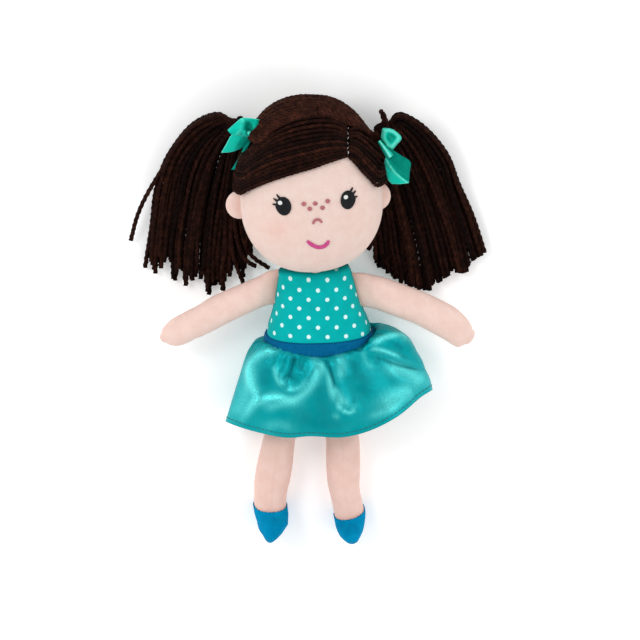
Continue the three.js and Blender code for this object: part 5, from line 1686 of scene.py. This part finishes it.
bows = {
    # each patch of ribbon: its two edges in the picture's pixels, their height above the table, how it rises
    # and how much painted shade it takes from the first edge to the second, below zero a painted highlight,
    # how far its end bulges, and its folds: line, half width, height and painted shade beside it
    "right": [
        {
            "name": "Under", "one": [(233, 134.5), (245, 136), (252, 137.5), (260, 135.5)],
            "two": [(230, 131), (243, 121), (249.5, 121), (261, 122.5)],
            "high": ([38.5, 39, 39, 38.5], [38.5, 39, 39, 38.5]), "rise": [1.5, -0.5, 1.5],
            "dark": [0.5, 0.6, 0.5]
        },
        {
            "name": "Second", "one": [(248, 143), (244, 149), (239, 159), (231.7, 170.5)],
            "two": [(252, 141), (249, 146), (244.5, 158), (237.4, 170.1)],
            "high": ([42, 43, 43, 42], [42, 43.5, 43.5, 42.5]), "rise": [0, 0.5, 0], "dark": [0.9, 0.95, 0.7]
        },
        {
            "name": "Tail", "one": [(243, 131), (232.2, 135.8), (226.8, 144.6), (221.7, 153.3)],
            "two": [(254, 135.3), (250.6, 139.5), (249.2, 143), (247.1, 146.1)],
            "high": ([41, 42.5, 40.5, 38.5], [41, 42, 40.5, 39.5]), "rise": [0, 1.0, 1.3, 0.8, 0],
            "dark": [0, 0, 0.05, 0.25, 0.35], "bulge": 2.4
        },
        {
            "name": "Band",
            "one": [(231.8, 135.4), (238, 136.2), (245, 137.2), (252, 138.3), (256.6, 137.2), (260.8, 136.2)],
            "two": [(228, 131.3), (235, 124.9), (242.3, 119.2), (249.4, 119.0), (256, 119.8), (262.1, 121.3)],
            "high": ([42.5, 44, 44.5, 44, 43.5, 42.5], [42, 44, 45.5, 45.5, 44.5, 42.5]),
            "rise": [0, 1.3, 1.7, 1.2, 0], "dark": [0, 0.05, 0.1, 0, 0],
            "folds": [
                ([(250.2, 132.5), (249.2, 126.5)], 4.0, -3.2, 0.9),
                ([(245.5, 133.5), (248.5, 136.2), (252.5, 135)], 1.5, 1.4, -0.3),
                ([(239, 134), (244, 126), (243, 121)], 2.5, 0.6, -0.2)
            ]
        },
    ],
    "left": [
        {
            "name": "Loop",
            "one": [
                (384.2, 144), (380.9, 138.8), (381.6, 133), (383.2, 129.2), (391.5, 130.2), (396.4, 133.2),
                (400.6, 137.6), (400, 141.4), (396.4, 145.5), (392.1, 150.3), (387.5, 148.8), (384.2, 144)
            ],
            "two": [
                (390.1, 138.8), (390.0, 138.5), (390.1, 138.2), (390.2, 138.0), (390.4, 138.0),
                (390.6, 138.1), (390.7, 138.3), (390.7, 138.6), (390.6, 138.9), (390.4, 139.0),
                (390.2, 139.0), (390.1, 138.8)
            ],
            "high": ([41.5] * 12, [42.5] * 12), "rise": [0, 2.0, 2.9, 2.9, 1.6, 0.7, 0.5],
            "dark": [0, -0.35, -0.4, 0, 0.4, 0.55, 0.6]
        },
        {
            "name": "Tail", "one": [(387, 155), (384.2, 162.5), (385.0, 170), (386.7, 178.5), (391, 184.2)],
            "two": [(390.5, 149.5), (400, 155.8), (409.9, 162.4), (409.3, 173), (408.4, 183.4)],
            "high": ([41, 41.5, 41, 39.5, 38.5], [41, 41.5, 40.5, 39.5, 38.5]), "rise": [0, 0.9, 1.4, 0.9, 0],
            "dark": [0, 0, 0, 0, 0], "bulge": 0.8,
            "folds": [([(386, 160), (388.5, 164.8), (396.4, 174.5), (408, 183.6)], 1.3, 0.9, -0.5)],
            "turned": ([(386, 160), (388.5, 164.8), (396.4, 174.5), (408, 183.6)], 1.0)
        },
        {
            "name": "Wrap", "one": [(377.4, 142.6), (381, 149), (384.5, 156), (386.9, 160.0)],
            "two": [(380.2, 140.8), (385.5, 146.5), (391, 153), (393.2, 156.2)],
            "high": ([42, 43, 43, 42], [42, 43, 43, 42]), "rise": [0, 2.0, 2.8, 2.0, 0],
            "dark": [0.3, 0.0, -0.9, 0.0, 0.35]
        },
    ],
}
ribbon = {
    "rows": 44, "columns": 19, "thick": 0.4, "wide": 0.0115, "long": {"right": 0.074, "left": 0.06},
    # each knot's place in pixels, its height and its radius
    "knots": {"right": ((249.3, 134.9), 43.2, 2.3), "left": ((388.6, 145.0), 43.0, 2.0)},
}


def ribbonPatch(name, shape):
    rows, columns = ribbon["rows"], ribbon["columns"]
    stations = np.linspace(0, len(shape["one"]) - 1, rows)
    one, two = spline(shape["one"], stations), spline(shape["two"], stations)
    z = [np.interp(stations, np.arange(len(high)), high) for high in shape["high"]]
    t = np.linspace(0, 1, columns)
    flat = one[:, None] * (1 - t)[None, :, None] + two[:, None] * t[None, :, None]
    flat[..., 1] += shape.get("bulge", 0) * np.outer(np.linspace(0, 1, rows) ** 4, np.sin(math.pi * t))
    profiles = (np.interp(t, np.linspace(0, 1, len(shape[part])), shape[part]) for part in ("rise", "dark"))
    rise, dark = (np.tile(profile, (rows, 1)) for profile in profiles)
    for line, width, height, shade in shape.get("folds", []):
        away = np.exp(-((distanceTo(flat, along(line, 16))[0] / width) ** 2))
        rise, dark = rise + height * away, dark + shade * away
    if "turned" in shape:  # the cloth beyond this line faces away from the light
        line, amount = along(shape["turned"][0], 20), shape["turned"][1]
        step = np.diff(line, axis=0)
        nearest = np.argmin(np.linalg.norm(flat[:, :, None] - line[None, None, :-1], axis=-1), -1)
        beside = flat - line[nearest]
        cross = step[nearest][..., 0] * beside[..., 1] - step[nearest][..., 1] * beside[..., 0]
        dark = dark + amount * smoothStep(0, -1.2, cross)
        rise = rise - 0.8 * smoothStep(0, -9.0, cross)
    grid = fromPhoto(flat, z[0][:, None] * (1 - t) + z[1][:, None] * t + rise)
    length = np.linalg.norm(np.diff(grid[:, columns // 2], axis=0), axis=1).sum()
    width = np.linalg.norm(np.diff(grid[rows // 2], axis=0), axis=1).sum()
    faces, corners = [], []
    for r in range(rows - 1):
        for i in range(columns - 1):
            faces.append(
                (r * columns + i, r * columns + i + 1, (r + 1) * columns + i + 1, (r + 1) * columns + i)
            )
            corners += [
                ((i + a) * width / (columns - 1), (r + b) * length / (rows - 1))
                for a, b in ((0, 0), (1, 0), (1, 1), (0, 1))
            ]
    strip = makePiece(name, grid.reshape(-1, 3), faces, ribbonSatin, corners)
    # painted highlights along the ribbon's edges, its bulging end and where its shade runs below zero;
    # painted shade from its shade values
    rim = np.zeros((rows, columns))
    rim[:, [0, -1]] = 0.6
    if "bulge" in shape:
        rim[-1] = 0.6
    paint(strip, "paintedShade", np.clip(dark, 0, 1))
    paint(strip, "paintedHighlight", np.clip(rim * (1 - dark) - np.minimum(dark, 0), 0, 1))
    return strip


def buildBow(name):
    bow = join(name + "_bow", *[ribbonPatch(name + shape["name"], shape) for shape in bows[name]])
    solid = bow.modifiers.new("ribbon", "SOLIDIFY")
    solid.thickness, solid.offset = ribbon["thick"] / 1000, 0
    spot, high, radius = ribbon["knots"][name]
    rings = ballWays(13, 22) * (1, 1, 0.8) * radius + fromPhoto(spot, high)
    cloth = np.stack(np.meshgrid(np.linspace(0, 11.5, 23), np.linspace(0, 9, 12)), -1)
    knot = loft(name + "_bow_knot", rings, ribbonSatin, cloth)
    # painted shade and a painted highlight all over the knot
    paint(knot, "paintedShade", 0.1)
    paint(knot, "paintedHighlight", 0.3)
    wear(bow, name + "_ponytail", (name + "_bow",))
    wear(knot, name + "_ponytail")


for tieName in ties:
    buildBow(tieName)
print("bows made")

# floor and light

studio = {
    "floor": "#ffffff", "glow": 0.2, "sky": 0.95, "opening": 0.30, "reach": 4, "low": -0.0006,
    # each lamp's place, size and watts
    "lamps": {"keyLight": ((-0.75, 0.75, 1.2), 0.5, 5.5), "fillLight": ((0.9, -0.35, 1.1), 0.7, 2.5)},
}


def buildStudio():
    # a white table that is lit a little from below, in a pale room with a dark opening overhead
    reach = studio["reach"]
    data = bpy.data.meshes.new("floor")
    corners = [(x * reach, y * reach, studio["low"]) for x, y in ((-1, -1), (1, -1), (1, 1), (-1, 1))]
    data.from_pydata(corners, [], [(0, 1, 2, 3)])
    # Opal acrylic sheet: matt and evenly white, with a faint glow that keeps the shadows on it pale.
    finish = startFinish(
        "opalTable", Roughness=0.9, Specular_IOR_Level=0.1, Emission_Strength=studio["glow"],
        Emission_Color=(1, 1, 1, 1), Base_Color=studio["floor"]
    )[0]
    data.materials.append(finish)
    floor = addObject("floor", data)
    world = bpy.data.worlds.new("softRoom")
    world.use_nodes = True
    tree = world.node_tree
    background = next(n for n in tree.nodes if n.type == "BACKGROUND")
    sightLine = addNode(tree, "ShaderNodeTexCoord").outputs["Generated"]
    high = addNode(tree, "ShaderNodeSeparateXYZ", {0: sightLine}).outputs["Z"]
    bright = addNode(
        tree, "ShaderNodeMapRange",
        {
            "Value": high, "From Min": 0.82, "From Max": 0.97, "To Min": studio["sky"],
            "To Max": studio["opening"]
        },
        interpolation_type="SMOOTHSTEP"
    ).outputs[0]
    tree.links.new(bright, background.inputs[1])
    background.inputs[0].default_value = (1, 1, 1, 1)
    bpy.context.scene.world = world
    for name, (where, size, power) in studio["lamps"].items():
        light = bpy.data.lights.new(name, "AREA")
        light.size, light.energy = size, power
        lamp = addObject(name, light)
        lamp.location = where
        lamp.rotation_euler = (-Vector(where)).to_track_quat("-Z", "Y").to_euler()
    bpy.context.scene.view_settings.view_transform = "Standard"


buildStudio()
